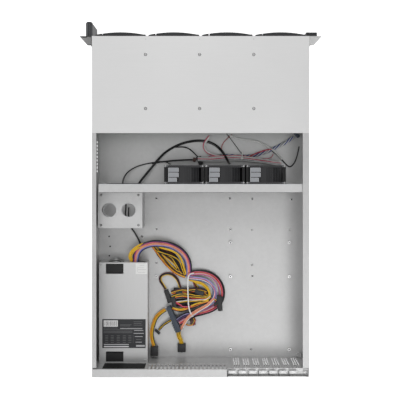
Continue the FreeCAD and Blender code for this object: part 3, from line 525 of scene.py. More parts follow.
# Routes, wires and diameters are in millimetres. A route named for a solid follows that
# solid. It stands off it by up to 15 where the two trunks meet, 10 along the auxiliary
# lead and 5 along the ribbon.
ROUTES = {
    "psu_harness": [
        (137, 126, 23), (137, 107, 25), (128, 90, 25), (106, 80, 24), (83, 80, 21), (60, 86, 16),
        (41, 98, 10), (28, 116, 8), (24.5, 138, 7.8), (26, 152, 7.8),
    ],
    "board_lead": [
        (29, 149, 8), (16, 143, 8.5), (-4, 142.5, 8), (-23, 148, 7), (-38, 161, 7),
        (-46, 182, 7), (-43, 205, 7), (-28, 220, 8), (-6, 228, 9), (15, 232, 11),
        (31, 242.6, 13), (45, 250, 13.5),
    ],
    "inner_harness": [
        (101, 85.5, 17.5), (92, 97, 11), (82, 112, 6.5), (70, 127, 5.5), (57, 139, 5.5),
        (44, 147.5, 5.5), (32, 152, 6.5),
    ],
    "cpu_lead": [
        (74.8, 222, 9), (84.5, 228, 7), (95, 238.5, 5.5), (102, 255.5, 5.5), (104.8, 274.5, 6.5),
        (102.6, 287, 10), (98.6, 297.6, 12.2),
    ],
    "spare_lead": [
        (74.4, 179, 6.2), (80.5, 169.5, 4.6), (86.3, 161.5, 4.2), (85.5, 152.5, 4.2),
        (77, 146.5, 4.2), (66, 146.5, 4.2), (54.5, 152.5, 4.5), (47.5, 163, 5.6), (43.5, 176, 8),
    ],
    "aux_lead": [
        (46.5, 264, 12), (47.5, 271, 12.5), (45.5, 280, 11), (42, 287, 7.5), (40.6, 295.2, 6),
    ],
    "drive_lead": [
        (20, 149, 5), (15, 166, 4.8), (4, 181, 4.8), (-11, 192, 8), (-32.8, 202.8, 14),
    ],
    "fan_lead_left": [
        (124, 96, 15), (129, 81, 9), (137, 65, 4.5), (147.5, 49.5, 3.2), (157, 36.5, 3),
        (161, 22, 3), (159, 7, 3.4), (158.5, -8, 6), (162, -26, 12), (166, -46, 17),
        (159, -66, 13), (142, -79, 6), (121, -86, 3.2), (98, -90, 3), (78, -92, 6),
        (69, -89, 26), (66, -86.5, 50), (61, -85.6, 74),
    ],
    "fan_lead_right": [
        (139, -26, 8), (132, -44, 16.5), (117, -63, 11), (103, -80, 7.6), (87, -100, 7.4),
        (74, -113, 3.6), (56, -124, 3.4), (32, -133, 3.4), (4, -137, 3.4), (-22, -133, 3.6),
        (-42, -119, 6), (-54, -98, 20), (-58, -87.5, 46), (-59, -85.6, 74),
    ],
    "ribbon_lead": [
        (-5, -96, 5.5), (-27, -103, 5.2), (-56, -105, 5.2), (-86, -102, 5.2), (-112, -104, 5.4),
        (-140, -112, 5.4), (-165, -124, 5.4), (-184, -134, 5.6), (-196, -143, 6),
    ],
}


def metres(points):
    """Points given in millimetres, in Blender's own unit."""
    return [tuple(v / 1000 for v in point) for point in points]


def spline_curve(name, points, thickness=0.0, resolution=10):
    """One open smooth curve with the points, in metres, as its control points."""
    curve = bpy.data.curves.new(name, "CURVE")
    curve.dimensions = "3D"
    curve.resolution_u = resolution
    curve.bevel_depth = thickness / 2
    curve.bevel_resolution = 3
    curve.use_fill_caps = True
    spline = curve.splines.new("NURBS")
    spline.points.add(len(points) - 1)
    for point, place in zip(spline.points, points):
        point.co = (*place, 1)
    spline.order_u = 3
    spline.use_endpoint_u = True
    made = bpy.data.objects.new(name, curve)
    bpy.context.scene.collection.objects.link(made)
    return made


def read_line(name, points):
    """The smooth line of a route, as points close together, all in metres."""
    guide = spline_curve(name + "_guide", points)
    bpy.context.view_layer.update()
    mesh = bpy.data.meshes.new_from_object(guide)
    line = [v.co.copy() for v in mesh.vertices]
    bpy.data.meshes.remove(mesh)
    bpy.data.objects.remove(guide)
    return line


def length_of(line):
    return sum((b - a).length for a, b in zip(line, line[1:]))


def as_mesh(piece):
    only(piece)
    bpy.ops.object.convert(target="MESH")
    return bpy.context.object


def frames_along(line):
    """At each point of a line: the point, and two directions across it that don't twist."""
    found = []
    up = Vector((0, 0, 1))
    for i, point in enumerate(line):
        ahead = line[min(i + 1, len(line) - 1)] - line[max(i - 1, 0)]
        side = ahead.cross(up).normalized()
        found.append((point, side, side.cross(ahead).normalized()))
    return found


def strands(name, points, layout, wire, reach, twist=0.0, seed=1, ends=0.8, stray=1.0):
    """A bundle of wires along a route: one tube a wire, each drifting across the bundle.

    Its points, wire and reach are in metres.
    The layout lists a colour, and where in the bundle it runs, in wire widths: across,
    positive to the right of the way the route goes, and above. No wire's middle goes
    further than the reach from the route.
    """
    line = read_line(name, points)
    frames = frames_along(line)
    total = length_of(line)
    chance = random.Random(seed)
    curve = bpy.data.curves.new(name, "CURVE")
    curve.dimensions = "3D"
    curve.bevel_depth = wire / 2
    curve.bevel_resolution = 2
    curve.use_fill_caps = True
    used = []
    for colour, across, above in layout:
        if colour not in used:
            used.append(colour)
            curve.materials.append(WIRE[colour])
        spline = curve.splines.new("POLY")
        spline.points.add(len(frames) - 1)
        spline.material_index = used.index(colour)
        sway = [chance.uniform(0, FULL_TURN) for _ in range(4)]
        run = 0.0
        for i, (point, side, lift) in enumerate(frames):
            if i:
                run += (point - frames[i - 1][0]).length
            way = run / total
            turn = twist * way * FULL_TURN
            loose = ends + (1 - ends) * math.sin(math.pi * way)
            free = stray * math.sin(math.pi * min(max(way, 0.05), 0.95))
            a = across * math.cos(turn) - above * math.sin(turn)
            b = across * math.sin(turn) + above * math.cos(turn)
            slow, quick = math.sin(way * 9 + sway[0]), math.sin(way * 21 + sway[1])
            a = a * loose + free * (0.3 * slow + 0.2 * quick)
            slow, quick = math.sin(way * 8 + sway[2]), math.sin(way * 19 + sway[3])
            b = b * loose + free * (0.25 * slow + 0.15 * quick)
            kept = min(1.0, reach / max(math.hypot(a, b) * wire, MM / 10))
            spline.points[i].co = (*(point + (side * a + lift * b) * kept * wire), 1)
    made = bpy.data.objects.new(name, curve)
    bpy.context.scene.collection.objects.link(made)
    return smooth(as_mesh(made), 60), line, total


def laid(*rows):
    """Wires side by side in rows, the top row first; a row is its height and its colours."""
    layout = []
    for above, start, step, colours in rows:
        layout += [(colour, start + i * step, above) for i, colour in enumerate(colours.split())]
    return layout


def lead(name, points, layout, wire, diameter, node=None, pieces=(), slot="wire_dark", **how):
    """One lead of several wires, in place of the solid named for it where one is given."""
    wire, diameter = wire / 1000, diameter / 1000
    reach = 0.6 * diameter + 1.9 * MM - wire / 2
    made, line, total = strands(name, metres(points), layout, wire, reach, **how)
    carried(made, "case")
    if node:
        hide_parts(node)


def single(name, points, diameter, colour):
    """One loose wire as a curve."""
    points, diameter = metres(points), diameter / 1000
    made = spline_curve(name, points, diameter)
    made.data.materials.append(WIRE[colour])
    carried(made, "case")
    length_of(read_line(name, points))


# ---------------------------------------------------------------- connectors

def wells(across, along, size, depth, at):
    """A patch of contact wells: a grid whose every cell is inset and sunk."""
    clear()
    bpy.ops.mesh.primitive_grid_add(x_subdivisions=across, y_subdivisions=along, size=1)
    patch = bpy.context.object
    patch.scale = (size[0] * MM, size[1] * MM, 1)
    only(patch)
    bpy.ops.object.transform_apply(location=False, rotation=False, scale=True)
    bpy.ops.object.mode_set(mode="EDIT")
    bpy.ops.mesh.select_all(action="SELECT")
    wall = min(size[0] / across, size[1] / along) * 0.18 * MM
    bpy.ops.mesh.inset(thickness=wall, depth=0, use_individual=True)
    bpy.ops.mesh.extrude_faces_move(TRANSFORM_OT_shrink_fatten={"value": -depth * MM})
    bpy.ops.object.mode_set(mode="OBJECT")
    patch.location = Vector(at) * MM
    return patch


def blocks(rows, edge, segments=1):
    return [brick(low, high, edge, 0, segments) for low, high in rows]


def moulded_body(size):
    half = Vector(size) / 2
    return brick(-half, half, 0.5)


def set_down(parts, name, material, middle, turn):
    """A connector's parts as one piece, turned and moved to its place."""
    made = joined(parts, name, material)
    made.location = Vector(middle) * MM
    made.rotation_euler.z = math.radians(turn)
    return carried(smooth(settle(made, name), 30), "case")


def connector(name, middle, turn, size, material, wells_at=None, ribs=0, clip=True):
    """A moulded connector: softened body, side ribs, latch and a patch of contact wells."""
    long, wide, tall = size
    parts = [moulded_body(size)]
    if clip:
        low = (-2.2, wide / 2 - 0.2, -tall / 2 + 1)
        parts.append(brick(low, (2.2, wide / 2 + 1.2, tall / 4), 0.3))
    rib_x = [-long / 2 + (i + 0.5) * long / ribs for i in range(ribs)]
    parts += blocks([
        ((x - 0.5, -wide / 2 - 0.5, -tall / 2 + 1.2), (x + 0.5, -wide / 2 + 0.3, tall / 2 - 1.2))
        for x in rib_x
    ], 0.15)
    if wells_at:
        parts.append(wells(*wells_at))
    return set_down(parts, name, material, middle, turn)


def board_connector():
    """The long connector of 24 ways, on its side, with its separate square shrouds showing."""
    long, wide, tall = size = (56, 10, 20)
    columns, pitch = 12, long / 12
    front, top = -wide / 2, tall / 2
    parts = [moulded_body(size)]
    for i in range(columns):
        x = -long / 2 + (i + 0.5) * pitch
        half, tooth = pitch * 0.36, pitch * 0.24
        rows = [
            ((x - half, side * 2.5 - 2.0, top - 0.2), (x + half, side * 2.5 + 2.0, top + 0.5))
            for side in (-1, 1)
        ]
        if i > 6:
            rows.append(((x - tooth, front - 2.4, -top + 3), (x + tooth, front + 0.3, top - 1)))
        parts += blocks(rows, 0.3)
    parts.append(brick((-5, -front - 0.2, -top + 2), (1, -front + 1.4, top - 3), 0.4))
    return set_down(parts, "board_plug", NYLON_SLATE, (57, 241, 11.5), 113.6)


def connectors():
    """All the leads' connectors, which together stand for the solid of the plugs."""
    black = NYLON_BLACK
    made = {
        "board": board_connector(),
        "cpu": connector("cpu_plug", (98, 308.5, 13), 0, (16, 19, 10), black,
                         (4, 2, (13, 9), 4, (0, 3.5, 5.05)), ribs=3),
        "aux": connector("aux_plug", (40.5, 303.5, 6), 0, (17, 17, 9), black,
                         (4, 1, (14, 6), 4, (0, 4, 4.55)), ribs=4),
        "drive": connector("drive_plug_loop", (-40, 207, 14), 5, (10, 32, 7), black, None, 2),
        "spare": connector("drive_plug_wide", (69.5, 194, 6.2), 107.8, (28, 9, 9), black,
                           (4, 1, (22, 6), 4, (0, 0, 4.55)), 4),
        "small": connector("drive_plug_small", (8, 207, 5.6), 25, (22, 10, 8), black, None, 3),
        "fan": connector("fan_plug", (1, -91.5, 5), 20, (10, 12, 7), black, None, 2),
        "ribbon": connector("ribbon_plug", (-203, -149.5, 5.5), 40, (7, 14, 8), NYLON_SLATE,
                            None, 2),
    }
    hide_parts("lead_plugs")
    return made


def spare_connectors():
    """Connectors caught in the tangle and at the fans, drawn only here."""
    black = NYLON_BLACK
    return {
        "tangle_left": connector("drive_plug_left", (57, 204, 12), 100, (20, 9, 8), black,
                                 (3, 1, (15, 6), 3, (0, 0, 4.05)), 3),
        "tangle_middle": connector("drive_plug_middle", (45, 187, 12), 12, (14, 10, 7), black,
                                   (3, 1, (10, 6), 3, (0, 0, 3.55)), 2),
        "tangle_right": connector("drive_plug_right", (3, 185, 12), -18, (20, 9, 7), black,
                                  (4, 1, (16, 5), 3, (0, 0, 3.55)), 3),
        "tangle_low": connector("drive_plug_low", (-38, 205, 6), -12, (17, 24, 9), black,
                                (3, 2, (12, 16), 3, (0, -2, 4.55)), 3),
        "short": connector("short_plug", (92, 270, 4), 138, (13, 5, 5), black, None, 2, False),
        "brown": connector("brown_plug", (17, 249, 4.5), 8, (11, 13, 6), NYLON_BROWN, None, 2),
        "fan_pair": connector("fan_plug_pair", (4, -99, 11), 12, (11, 7, 6), black,
                              (3, 1, (9, 4), 2, (0, 0, 3.05)), 2),
        "fan_brown": connector("fan_plug_brown", (13, -96, 12), -20, (7, 8, 5), NYLON_BROWN),
    }


def supply_leads(plugs, loose):
    """Everything that comes out of the power supply."""
    lead("psu_wires", ROUTES["psu_harness"], laid(
        (1.0, -3.0, 0.95, "black purple pink peach peach lilac blue"),
        (0.1, -3.3, 0.94, "black black red maroon pink orange yellow black"),
        (-0.9, -2.8, 0.95, "teal black yellow black orange black yellow"),
    ), 1.9, 9, "psu_harness", slot="wire_yellow", seed=3, ends=0.92)
    lead("supply_yellow_wires", [
        (141.5, 125, 22.5), (143.5, 116, 25), (148.5, 108, 27), (144, 97, 27.5), (133, 88, 27),
        (119, 82.5, 25.5), (104, 82, 21), (90, 84, 16),
    ], laid(
        (0.2, -1.5, 0.95, "yellow yellow yellow yellow"),
        (-0.7, -1.0, 0.95, "yellow yellow black"),
    ), 2.1, 7, slot="wire_yellow", seed=6, ends=0.9, stray=0.4)
    lead("inner_wires", ROUTES["inner_harness"], laid(
        (0.7, -2.2, 1.1, "yellow black maroon yellow orange"),
        (-0.2, -2.6, 1.05, "black yellow maroon black yellow black"),
    ), 1.8, 7, "inner_harness", slot="wire_yellow", seed=14, ends=0.7)
    lead("inner_arc_outer", [
        (88, 88, 19), (76, 92, 19), (60, 96, 16.5), (47, 105, 13), (40, 118, 10), (36, 132, 9),
        (31, 147, 9),
    ], laid(
        (0.3, -0.5, 0.95, "yellow yellow"),
        (-0.6, 0.0, 0.95, "orange"),
    ), 2, 5, slot="wire_yellow", seed=15, stray=0.5)
    lead("inner_arc_middle", [
        (94, 97, 16.5), (76, 103, 14), (60, 109, 12), (48, 115, 10), (43, 125, 9), (40, 136, 9),
        (35, 149, 8),
    ], laid((0.2, -0.3, 0.95, "yellow black")), 1.8, 4, slot="wire_yellow", seed=16, stray=0.6)
    lead("inner_arc_red", [
        (82, 104, 10), (69, 114, 8), (59, 121, 7), (52, 133, 6.5), (41, 145, 6.5),
    ], laid(
        (0.3, -0.5, 0.95, "maroon yellow"),
        (-0.6, -0.8, 0.95, "black black"),
    ), 1.8, 4, slot="wire_yellow", seed=17, stray=0.8)
    lead("inner_arc_black", [
        (88, 95, 11), (68, 103, 7), (55, 114, 6), (47, 129, 6), (37, 146, 6),
    ], laid(
        (0.5, -3.2, 1.3, "black maroon black black yellow black"),
        (-0.4, -3.2, 1.1, "black black black black black black black"),
    ), 1.9, 10, seed=18, stray=0.6)

    lead("board_wires", ROUTES["board_lead"], laid(
        (0.9, -2.7, 0.94, "black black pink red peach lilac pink"),
        (0.0, -2.9, 0.95, "black red maroon black peach white purple"),
        (-0.8, -2.5, 0.95, "black black teal orange black blue"),
    ), 1.8, 8, "board_lead", [plugs["board"]], "wire_yellow", seed=5, ends=0.85)
    lead("loop_pale_wires", [
        (27, 153.5, 11), (11, 155.5, 12), (-5, 156.5, 12), (-19, 164, 12), (-29, 177, 12),
        (-31, 190, 12), (-26, 203, 12), (-14, 213, 13), (2, 221.5, 14), (17, 231, 16),
    ], laid(
        (0.6, -1.9, 0.96, "lilac lilac pink white blue"),
        (-0.3, -1.4, 0.96, "purple white pink black"),
    ), 1.8, 6, slot="wire_yellow", seed=20, ends=0.8)
    lead("loop_yellow_wires", [
        (27, 157, 10), (12, 162.5, 11), (-3, 166.5, 11), (-14, 175, 11), (-20, 187, 11),
        (-18.5, 200, 10),
    ], laid(
        (0.3, -0.9, 0.95, "yellow yellow yellow"),
        (-0.6, -0.5, 0.95, "black yellow"),
    ), 2, 5, slot="wire_yellow", seed=21, stray=0.6)
    lead("loop_peach_wires", [
        (-27, 199, 13), (-18, 209, 15.5), (-2, 218, 17), (15, 227, 19), (28, 238, 19),
        (36, 252, 18), (42, 264, 14),
    ], laid(
        (0.3, -1.4, 0.95, "white peach peach peach"),
        (-0.6, -1.0, 0.95, "pink orange peach"),
    ), 1.9, 6, slot="wire_yellow", seed=22, stray=0.5)
    lead("board_purple_wires", [
        (-6, 219, 9), (10, 226, 11.5), (27, 230, 14), (41, 235, 16), (52, 244, 16.5),
    ], laid(
        (0.8, -2.2, 0.98, "black purple black lilac black"),
        (-0.2, -2.6, 0.98, "black purple black purple black black"),
    ), 1.8, 8, seed=23, stray=0.8)

    lead("cpu_wires", ROUTES["cpu_lead"], laid(
        (0.5, -2.1, 0.94, "black yellow yellow orange yellow"),
        (-0.4, -1.6, 0.94, "black yellow yellow orange"),
    ), 1.8, 6, "cpu_lead", [plugs["cpu"]], seed=8, ends=0.9, stray=0.5)
    lead("aux_wires", ROUTES["aux_lead"], laid(
        (0.1, -2.1, 1.4, "yellow yellow yellow yellow"),
        (-0.8, -1.4, 1.4, "black yellow black"),
    ), 1.8, 5, "aux_lead", [plugs["aux"]], "wire_yellow", seed=9, stray=0.4)
    lead("drive_wires", ROUTES["drive_lead"], laid(
        (0.4, -1.0, 1.0, "yellow black red"),
        (-0.5, -1.0, 1.0, "black black"),
    ), 1.8, 6, "drive_lead", [plugs["drive"]], "wire_yellow", seed=12)
    lead("spare_wires", ROUTES["spare_lead"], laid(
        (0.3, -1.5, 0.96, "maroon black black yellow"),
        (-0.5, -1.0, 0.96, "black maroon"),
    ), 1.7, 5, "spare_lead", [plugs["spare"]], seed=24, stray=0.8)
    lead("short_wires", [
        (62, 244, 12), (72, 250, 10), (81, 257, 7), (88.5, 266.5, 4.5),
    ], laid(
        (0.2, -0.6, 0.95, "black yellow black"),
    ), 1.8, 4, pieces=[loose["short"]], seed=25, stray=0.5)


def tangle(loose):
    """The short ends gathered inside the loop of the board's lead."""
    lead("tangle_back_wires", [
        (62, 186, 12), (46, 180, 13), (26, 182, 12), (4, 178, 11), (-12, 185, 10),
    ], laid(
        (0.8, -2.6, 1.05, "black maroon yellow black orange"),
        (-0.2, -2.8, 1.1, "black black black black black"),
    ), 1.8, 7, pieces=[loose["tangle_middle"]], seed=31, ends=0.7)
    lead("tangle_middle_wires", [
        (60, 196, 13), (44, 190, 14), (25, 193, 13), (3, 196, 12), (-18, 196, 11),
    ], laid(
        (0.9, -2.2, 1.2, "yellow black yellow red"),
        (-0.1, -2.8, 1.0, "black orange black yellow black black"),
    ), 1.8, 7, pieces=[loose["tangle_right"]], seed=32, ends=0.7)
    lead("tangle_front_wires", [
        (52, 207, 13), (38, 206, 14), (20, 203, 14), (2, 204, 13), (-16, 203, 12), (-22, 194, 11),
    ], laid(
        (0.7, -2.0, 1.3, "white yellow black"),
        (-0.2, -2.8, 1.0, "black red black yellow black black"),
    ), 1.8, 7, pieces=[loose["tangle_left"]], seed=33, ends=0.7)
    lead("tangle_low_wires", [
        (60, 219, 13), (48, 223.5, 15), (32, 221.5, 15), (17, 214, 14), (-2, 208, 13),
        (-17, 204, 12),
    ], laid(
        (0.7, -1.9, 0.96, "yellow yellow orange black"),
        (-0.2, -2.4, 0.96, "black yellow black maroon black"),
    ), 1.8, 7, pieces=[loose["tangle_low"]], seed=34, ends=0.8)
    lead("tangle_under_wires", [
        (58, 183, 6), (40, 185, 6), (20, 188, 6), (0, 187, 6), (-17, 190, 6),
    ], laid(
        (0.4, -3.6, 1.2, "black black maroon black black black black"),
        (-0.6, -3.6, 1.2, "black black black black black black black"),
    ), 1.9, 12, seed=37, ends=0.9, stray=1.2)
    lead("tangle_floor_wires", [
        (58, 208, 6), (40, 209, 6), (20, 206, 6), (1, 203, 6), (-16, 200, 6),
    ], laid(
        (0.4, -3.6, 1.2, "black black black orange black black black"),
        (-0.6, -3.6, 1.2, "black black black black black black black"),
    ), 1.9, 12, seed=38, ends=0.9, stray=1.2)
    lead("tangle_red_wires", [
        (52, 205, 16.5), (43, 212, 17.5), (32, 216, 17), (20, 214, 16),
    ], laid((0.0, -0.5, 1.1, "pink red")), 1.8, 4, seed=35, slot="wire_yellow")
    lead("brown_loop_wires", [
        (20, 235, 12.5), (14, 240, 8.5), (12, 248, 7), (18, 256, 7), (28, 256, 9), (36, 248, 12),
    ], laid(
        (0.0, -0.6, 1.1, "red yellow"),
    ), 1.7, 4, pieces=[loose["brown"]], seed=36, slot="wire_yellow")


def front_leads(plugs, loose):
    """Leads of the fans and of the backplane, in front of the fan wall."""
    lead("fan_wires_left", ROUTES["fan_lead_left"], laid(
        (0, -0.5, 1.0, "black black"),
    ), 1.4, 3, "fan_lead_left", seed=41, stray=0.5)
    lead("fan_wires_right", ROUTES["fan_lead_right"], laid(
        (0.1, -1.0, 1.0, "black black black"),
    ), 1.7, 3, "fan_lead_right", seed=42, stray=0.6)
    lead("ribbon_wires", ROUTES["ribbon_lead"], [
        (colour, 1.18 * math.cos(k * math.pi / 3), 1.18 * math.sin(k * math.pi / 3))
        for k, colour in enumerate(["blue", "white", "grey", "white", "blue", "white"])
    ], 2.1, 4, "ribbon_lead", [plugs["ribbon"], plugs["fan"]], "wire_grey", twist=5.7, seed=4,
         ends=1.0, stray=0.0)
    lead("fan_sleeve", [
        (104, -87.5, 4.5), (86, -90.5, 6.5), (62, -93.5, 9.5), (36, -95, 12), (14, -95.5, 12.5),
    ], [("black", 0, 0)], 3.2, 4, pieces=[loose["fan_brown"]], seed=43, stray=0.0)
    lead("fan_branch", [
        (55, -122, 4.2), (39, -123.5, 6), (24, -119, 8.5), (13, -109, 11), (6, -101, 12.5),
    ], laid(
        (0, -0.5, 1.0, "black black"),
    ), 1.3, 3, pieces=[loose["fan_pair"]], seed=44, stray=0.4)
    lead("sensor_wires", [
        (6, -97, 13), (-20, -95.5, 16), (-47, -97.5, 16.5), (-74, -99, 16), (-101, -97, 15),
        (-128, -94, 14.5), (-152, -89, 15), (-169, -87.5, 19),
    ], laid(
        (0.7, -2.4, 0.96, "white white pink white grey white"),
        (-0.2, -2.0, 0.96, "grey white grey white black"),
    ), 1.9, 6, slot="wire_grey", seed=45, ends=0.75)
    lead("sensor_pink_wires", [
        (-16, -101, 16.5), (-44, -103.5, 17.5), (-77, -104, 17), (-104, -101, 15),
        (-132, -96.5, 13.5), (-152, -98.5, 11), (-154, -108, 8),
    ], laid((0, -0.5, 1.0, "pink white")), 1.4, 3, slot="wire_grey", seed=46, stray=0.8)
    lead("sensor_loop", [
        (-19, -146, 4.5), (-11.5, -137, 5), (-6.5, -126, 6), (-8.5, -116, 8), (-20, -107, 12),
        (-40, -102.5, 15),
    ], laid(
        (0.3, -0.9, 0.9, "white white pink"),
        (-0.5, -0.4, 0.9, "white"),
    ), 2, 4, slot="wire_grey", seed=47, stray=0.4)
    single("backplane_red_wire", [
        (-66, -149, 4.5), (-55, -140, 3.5), (-46, -129, 4), (-43, -116, 8), (-48, -104, 13.5),
    ], 1.3, "red")
    single("backplane_black_wire", [
        (-55, -151, 4.5), (-64, -139, 3.5), (-74, -126, 4), (-85, -110, 10), (-94, -101, 14.5),
    ], 1.4, "black")
    lead("backplane_white_wires", [
        (-62, -147, 5), (-79, -139.5, 4.5), (-101, -138.5, 4.5), (-123, -134, 5.5),
        (-144, -122.5, 7.5), (-161, -110, 10), (-171.5, -96, 14),
    ], laid((0, -0.5, 1.0, "white white")), 1.9, 3, slot="wire_grey", seed=48, stray=0.3)
    lead("corner_black_wires", [
        (-147, -117, 8), (-159, -109, 6), (-174, -94, 3.8), (-188, -78, 3.4), (-199, -87, 3.4),
        (-206, -106, 3.6), (-209, -124, 4.2),
    ], laid((0, -0.5, 1.0, "black black")), 1.3, 3, seed=49, stray=0.3)
    lead("ribbon_red_wires", [
        (-100, -101, 13), (-118, -109.5, 11.5), (-136, -116, 10.5), (-150, -118, 10),
    ], laid((0, -0.5, 1.0, "red pink")), 1.3, 3, slot="wire_grey", seed=50, stray=0.4)


def bridge_lead():
    single("bridge_wire", [
        (152, 6, 12), (151, 20, 30), (149, 33, 34), (145, 46, 26), (139, 58, 19), (133, 69, 16),
        (127, 80, 15), (121, 88, 15),
    ], 2.6, "black")


def cable_tie(name, points, width=2.6, thick=1.0, head_at=None):
    """A flat nylon tie round a bundle, with its head."""
    mesh = bpy.data.meshes.new(name)
    made = bpy.data.objects.new(name, mesh)
    bpy.context.scene.collection.objects.link(made)
    shape = bmesh.new()
    rows = []
    for point, side, lift in frames_along(read_line(name, metres(points))):
        rows.append([
            shape.verts.new(point + side * a * width / 2 * MM + lift * b * thick / 2 * MM)
            for a, b in ((-1, -1), (1, -1), (1, 1), (-1, 1))
        ])
    for one, two in zip(rows, rows[1:]):
        for i in range(4):
            shape.faces.new((one[i], one[(i + 1) % 4], two[(i + 1) % 4], two[i]))
    shape.faces.new(rows[0])
    shape.faces.new(rows[-1])
    bmesh.ops.recalc_face_normals(shape, faces=shape.faces)
    shape.to_mesh(mesh)
    shape.free()
    applied(made, "BEVEL", width=0.15 * MM, segments=1, limit_method="ANGLE")
    head, half = Vector(head_at or points[-1]), Vector((2.4, 2.0, 1.6))
    made = joined([made, brick(head - half, head + half, 0.3)], name, TIE_WHITE)
    return carried(smooth(made, 40), "case")


def ties():
    cable_tie("harness_tie", [
        (14, 144, 15), (21, 144, 19), (26, 149, 21.5), (27, 160, 21.5), (27, 175, 20.5),
        (26.5, 195, 20.5), (25.5, 213, 22.5), (22, 226, 22.5), (18, 233, 18),
    ])
    cable_tie("fan_tie", [
        (-86, -93, 12), (-86.5, -95, 18.5), (-87, -99, 20.5), (-87.5, -104, 19.5), (-88, -112, 15),
    ], 2.2, 0.9, (-87, -98, 20.5))


def leads():
    plugs = connectors()
    loose = spare_connectors()
    supply_leads(plugs, loose)
    tangle(loose)
    front_leads(plugs, loose)
    bridge_lead()
    ties()


# ---------------------------------------------------------------- small fixed pieces

FAN_X = (33.4, -49.0, -131.4)
FAN_MID = 42.0
FAN_HOLE = 35.75
WALL_REAR = -44.0
FLOOR_TOP = 1.2
SUPPLY_FAN_X = 178.0
SUPPLY_FAN_Z = 21.6
SLOT_X = tuple(-63.2 - 20.32 * i for i in range(7))


def scattered(master, places, name, material=None):
    """The same small piece at each place, as one piece."""
    pieces = [copied(master, place, f"{name}_{i}") for i, place in enumerate(places)]
    bpy.data.objects.remove(master)
    return carried(joined(pieces, name, material))


def bricks(rows, name, material, edge=0.2, segments=1):
    """Several softened boxes as one piece."""
    made = joined(blocks(rows, edge, segments), name, material)
    return carried(smooth(made, 30))


def bent_wire(points, thickness):
    """A stiff round wire bent along a smooth line, in millimetres."""
    return as_mesh(spline_curve("bent_wire", metres(points), thickness * MM, 6))


def bordered(low, high, thick):
    """The four strips of a standing frame, inside its low and high corner."""
    (x0, y0, z0), (x1, y1, z1) = low, high
    return [
        ((x0, y0, z0), (x0 + thick, y1, z1)), ((x1 - thick, y0, z0), (x1, y1, z1)),
        ((x0, y0, z1 - thick), (x1, y1, z1)), ((x0, y0, z0), (x1, y1, z0 + thick)),
    ]


def fasteners():
    """Screws and rivets of the lid, the fan wall, the supply, the ears and the flanks."""
    lid_top = box("front_cover")[1].z
    lid_x = (110.2, 2.0, -106.4)
    spots = [(x, y, lid_top) for x in lid_x for y in (-304.5, -196.5)]
    scattered(screw_head(2.3, 0.9), spots, "lid_screws", SCREW)
    # Painted shade: a near-black ring round each lid screw.
    scattered(ring(2.7, 0.35, sides=28), spots, "lid_dimples", SHADE)
    scattered(smooth(disc(1.1, 0.7, sides=16, edge=0.3)),
              [(x, -335.5, lid_top) for x in lid_x], "lid_rivets", SCREW)
    scattered(screw_head(3.2, 1.2, "y"), [
        (x + side * FAN_HOLE, WALL_REAR + 0.4, FAN_MID + rise * FAN_HOLE)
        for x in FAN_X for side in (-1, 1) for rise in (-1, 1)
    ], "fan_screws", SCREW)
    cover_top = box("psu_cover")[1].z
    scattered(screw_head(1.9, 0.8), [(205.6, 122.2, cover_top), (115.2, 319.2, cover_top)],
              "supply_screws", SCREW)
    head = screw_head(3.0, 1.0, "x")
    flank = box("left_ear")[0].x + 1.9
    sides = [
        copied(head, (side * flank, -332, z), "ear_screw", turn)
        for side, turn in ((-1, 180), (1, 0)) for z in (16, 44, 72)
    ]
    bpy.data.objects.remove(head)
    carried(joined(sides, "ear_screws", SCREW))
    case_side = box("chassis_base")[1].x
    scattered(smooth(disc(2.0, 0.8, "x", 18, 0.3)), [
        (side * case_side, y, z) for side in (-1, 1)
        for y in (-290, -235, -180, -38, 335) for z in (12, 76)
    ], "side_rivets", SCREW)


def bosses():
    """Pressed bosses of the floor, a bright rim round a threaded hole given as a disc of painted
    shade, painted shade in three small floor holes, and the cable clip.
    """
    rim = smooth(ring(2.0, 0.85, sides=24, at=(0, 0, 0.5)))
    collar = smooth(disc(2.9, 0.9, sides=28, edge=0.25, at=(0, 0, -0.1)))
    # Painted shade: a near-black disc stands for the threaded hole.
    hole = disc(1.5, 0.3, sides=20, at=(0, 0, 0.35))
    for piece, material in ((rim, POST), (collar, ZINC), (hole, SHADE)):
        piece.data.materials.append(material)
    places = (
        (94.6, -13.1), (94.1, 51.8), (93.9, 93.5), (94.1, 124.0), (125.2, 68.0), (-62.2, -13.1),
        (-109.5, -12.1), (-193.7, -11.0), (-62.9, 52.4), (-109.3, 54.0), (-188.8, 53.5),
        (-109.3, 128.4), (-109.7, 151.8), (-106.9, 308.2),
    )
    scattered(joined([rim, collar, hole], "boss"),
              [(x, y, FLOOR_TOP + 0.3) for x, y in places], "floor_bosses")
    # Painted shade: near-black discs in three small holes of the floor.
    holes = ((195.2, 67.7), (193.1, 89), (194.8, 108.8))
    scattered(disc(1.7, 0.2, sides=20), [(x, y, FLOOR_TOP + 0.05) for x, y in holes],
              "floor_holes", SHADE)
    clip = [
        brick((-212.5, 315, 2), (-203.5, 323.5, 3.2), 0.3),
        brick((-212.5, 315, 2), (-211.3, 323.5, 12), 0.3),
        brick((-206.5, 317, 2), (-204.5, 321.5, 7), 0.4),
    ]
    carried(joined(clip, "cable_clip", POST))


# ---------------------------------------------------------------- power supply

def finger_guard(name, face, out):
    """A guard of three wire rings on four bowed legs, over one end of the supply."""
    x, z = SUPPLY_FAN_X, SUPPLY_FAN_Z
    wire = 1.3
    leg = ((4.2, 6.6), (7.8, 4.9), (11.3, 2.4), (15.4, 0.8))
    pieces = [
        ring(radius, wire / 2, "y", 36, (x, face + out * depth, z))
        for radius, depth in ((16.0, 1.6), (11.0, 4.4), (6.0, 6.4))
    ]
    for across in (-1, 1):
        for rise in (-1, 1):
            pieces.append(bent_wire(
                [(x + across * r, face + out * depth, z + rise * r) for r, depth in leg], wire,
            ))
            eye = (x + across * 15.9, face + out * 0.7, z + rise * 15.9)
            pieces.append(ring(1.9, wire / 2, "y", 20, eye))
    carried(smooth(joined(pieces, name, SCREW), 50))


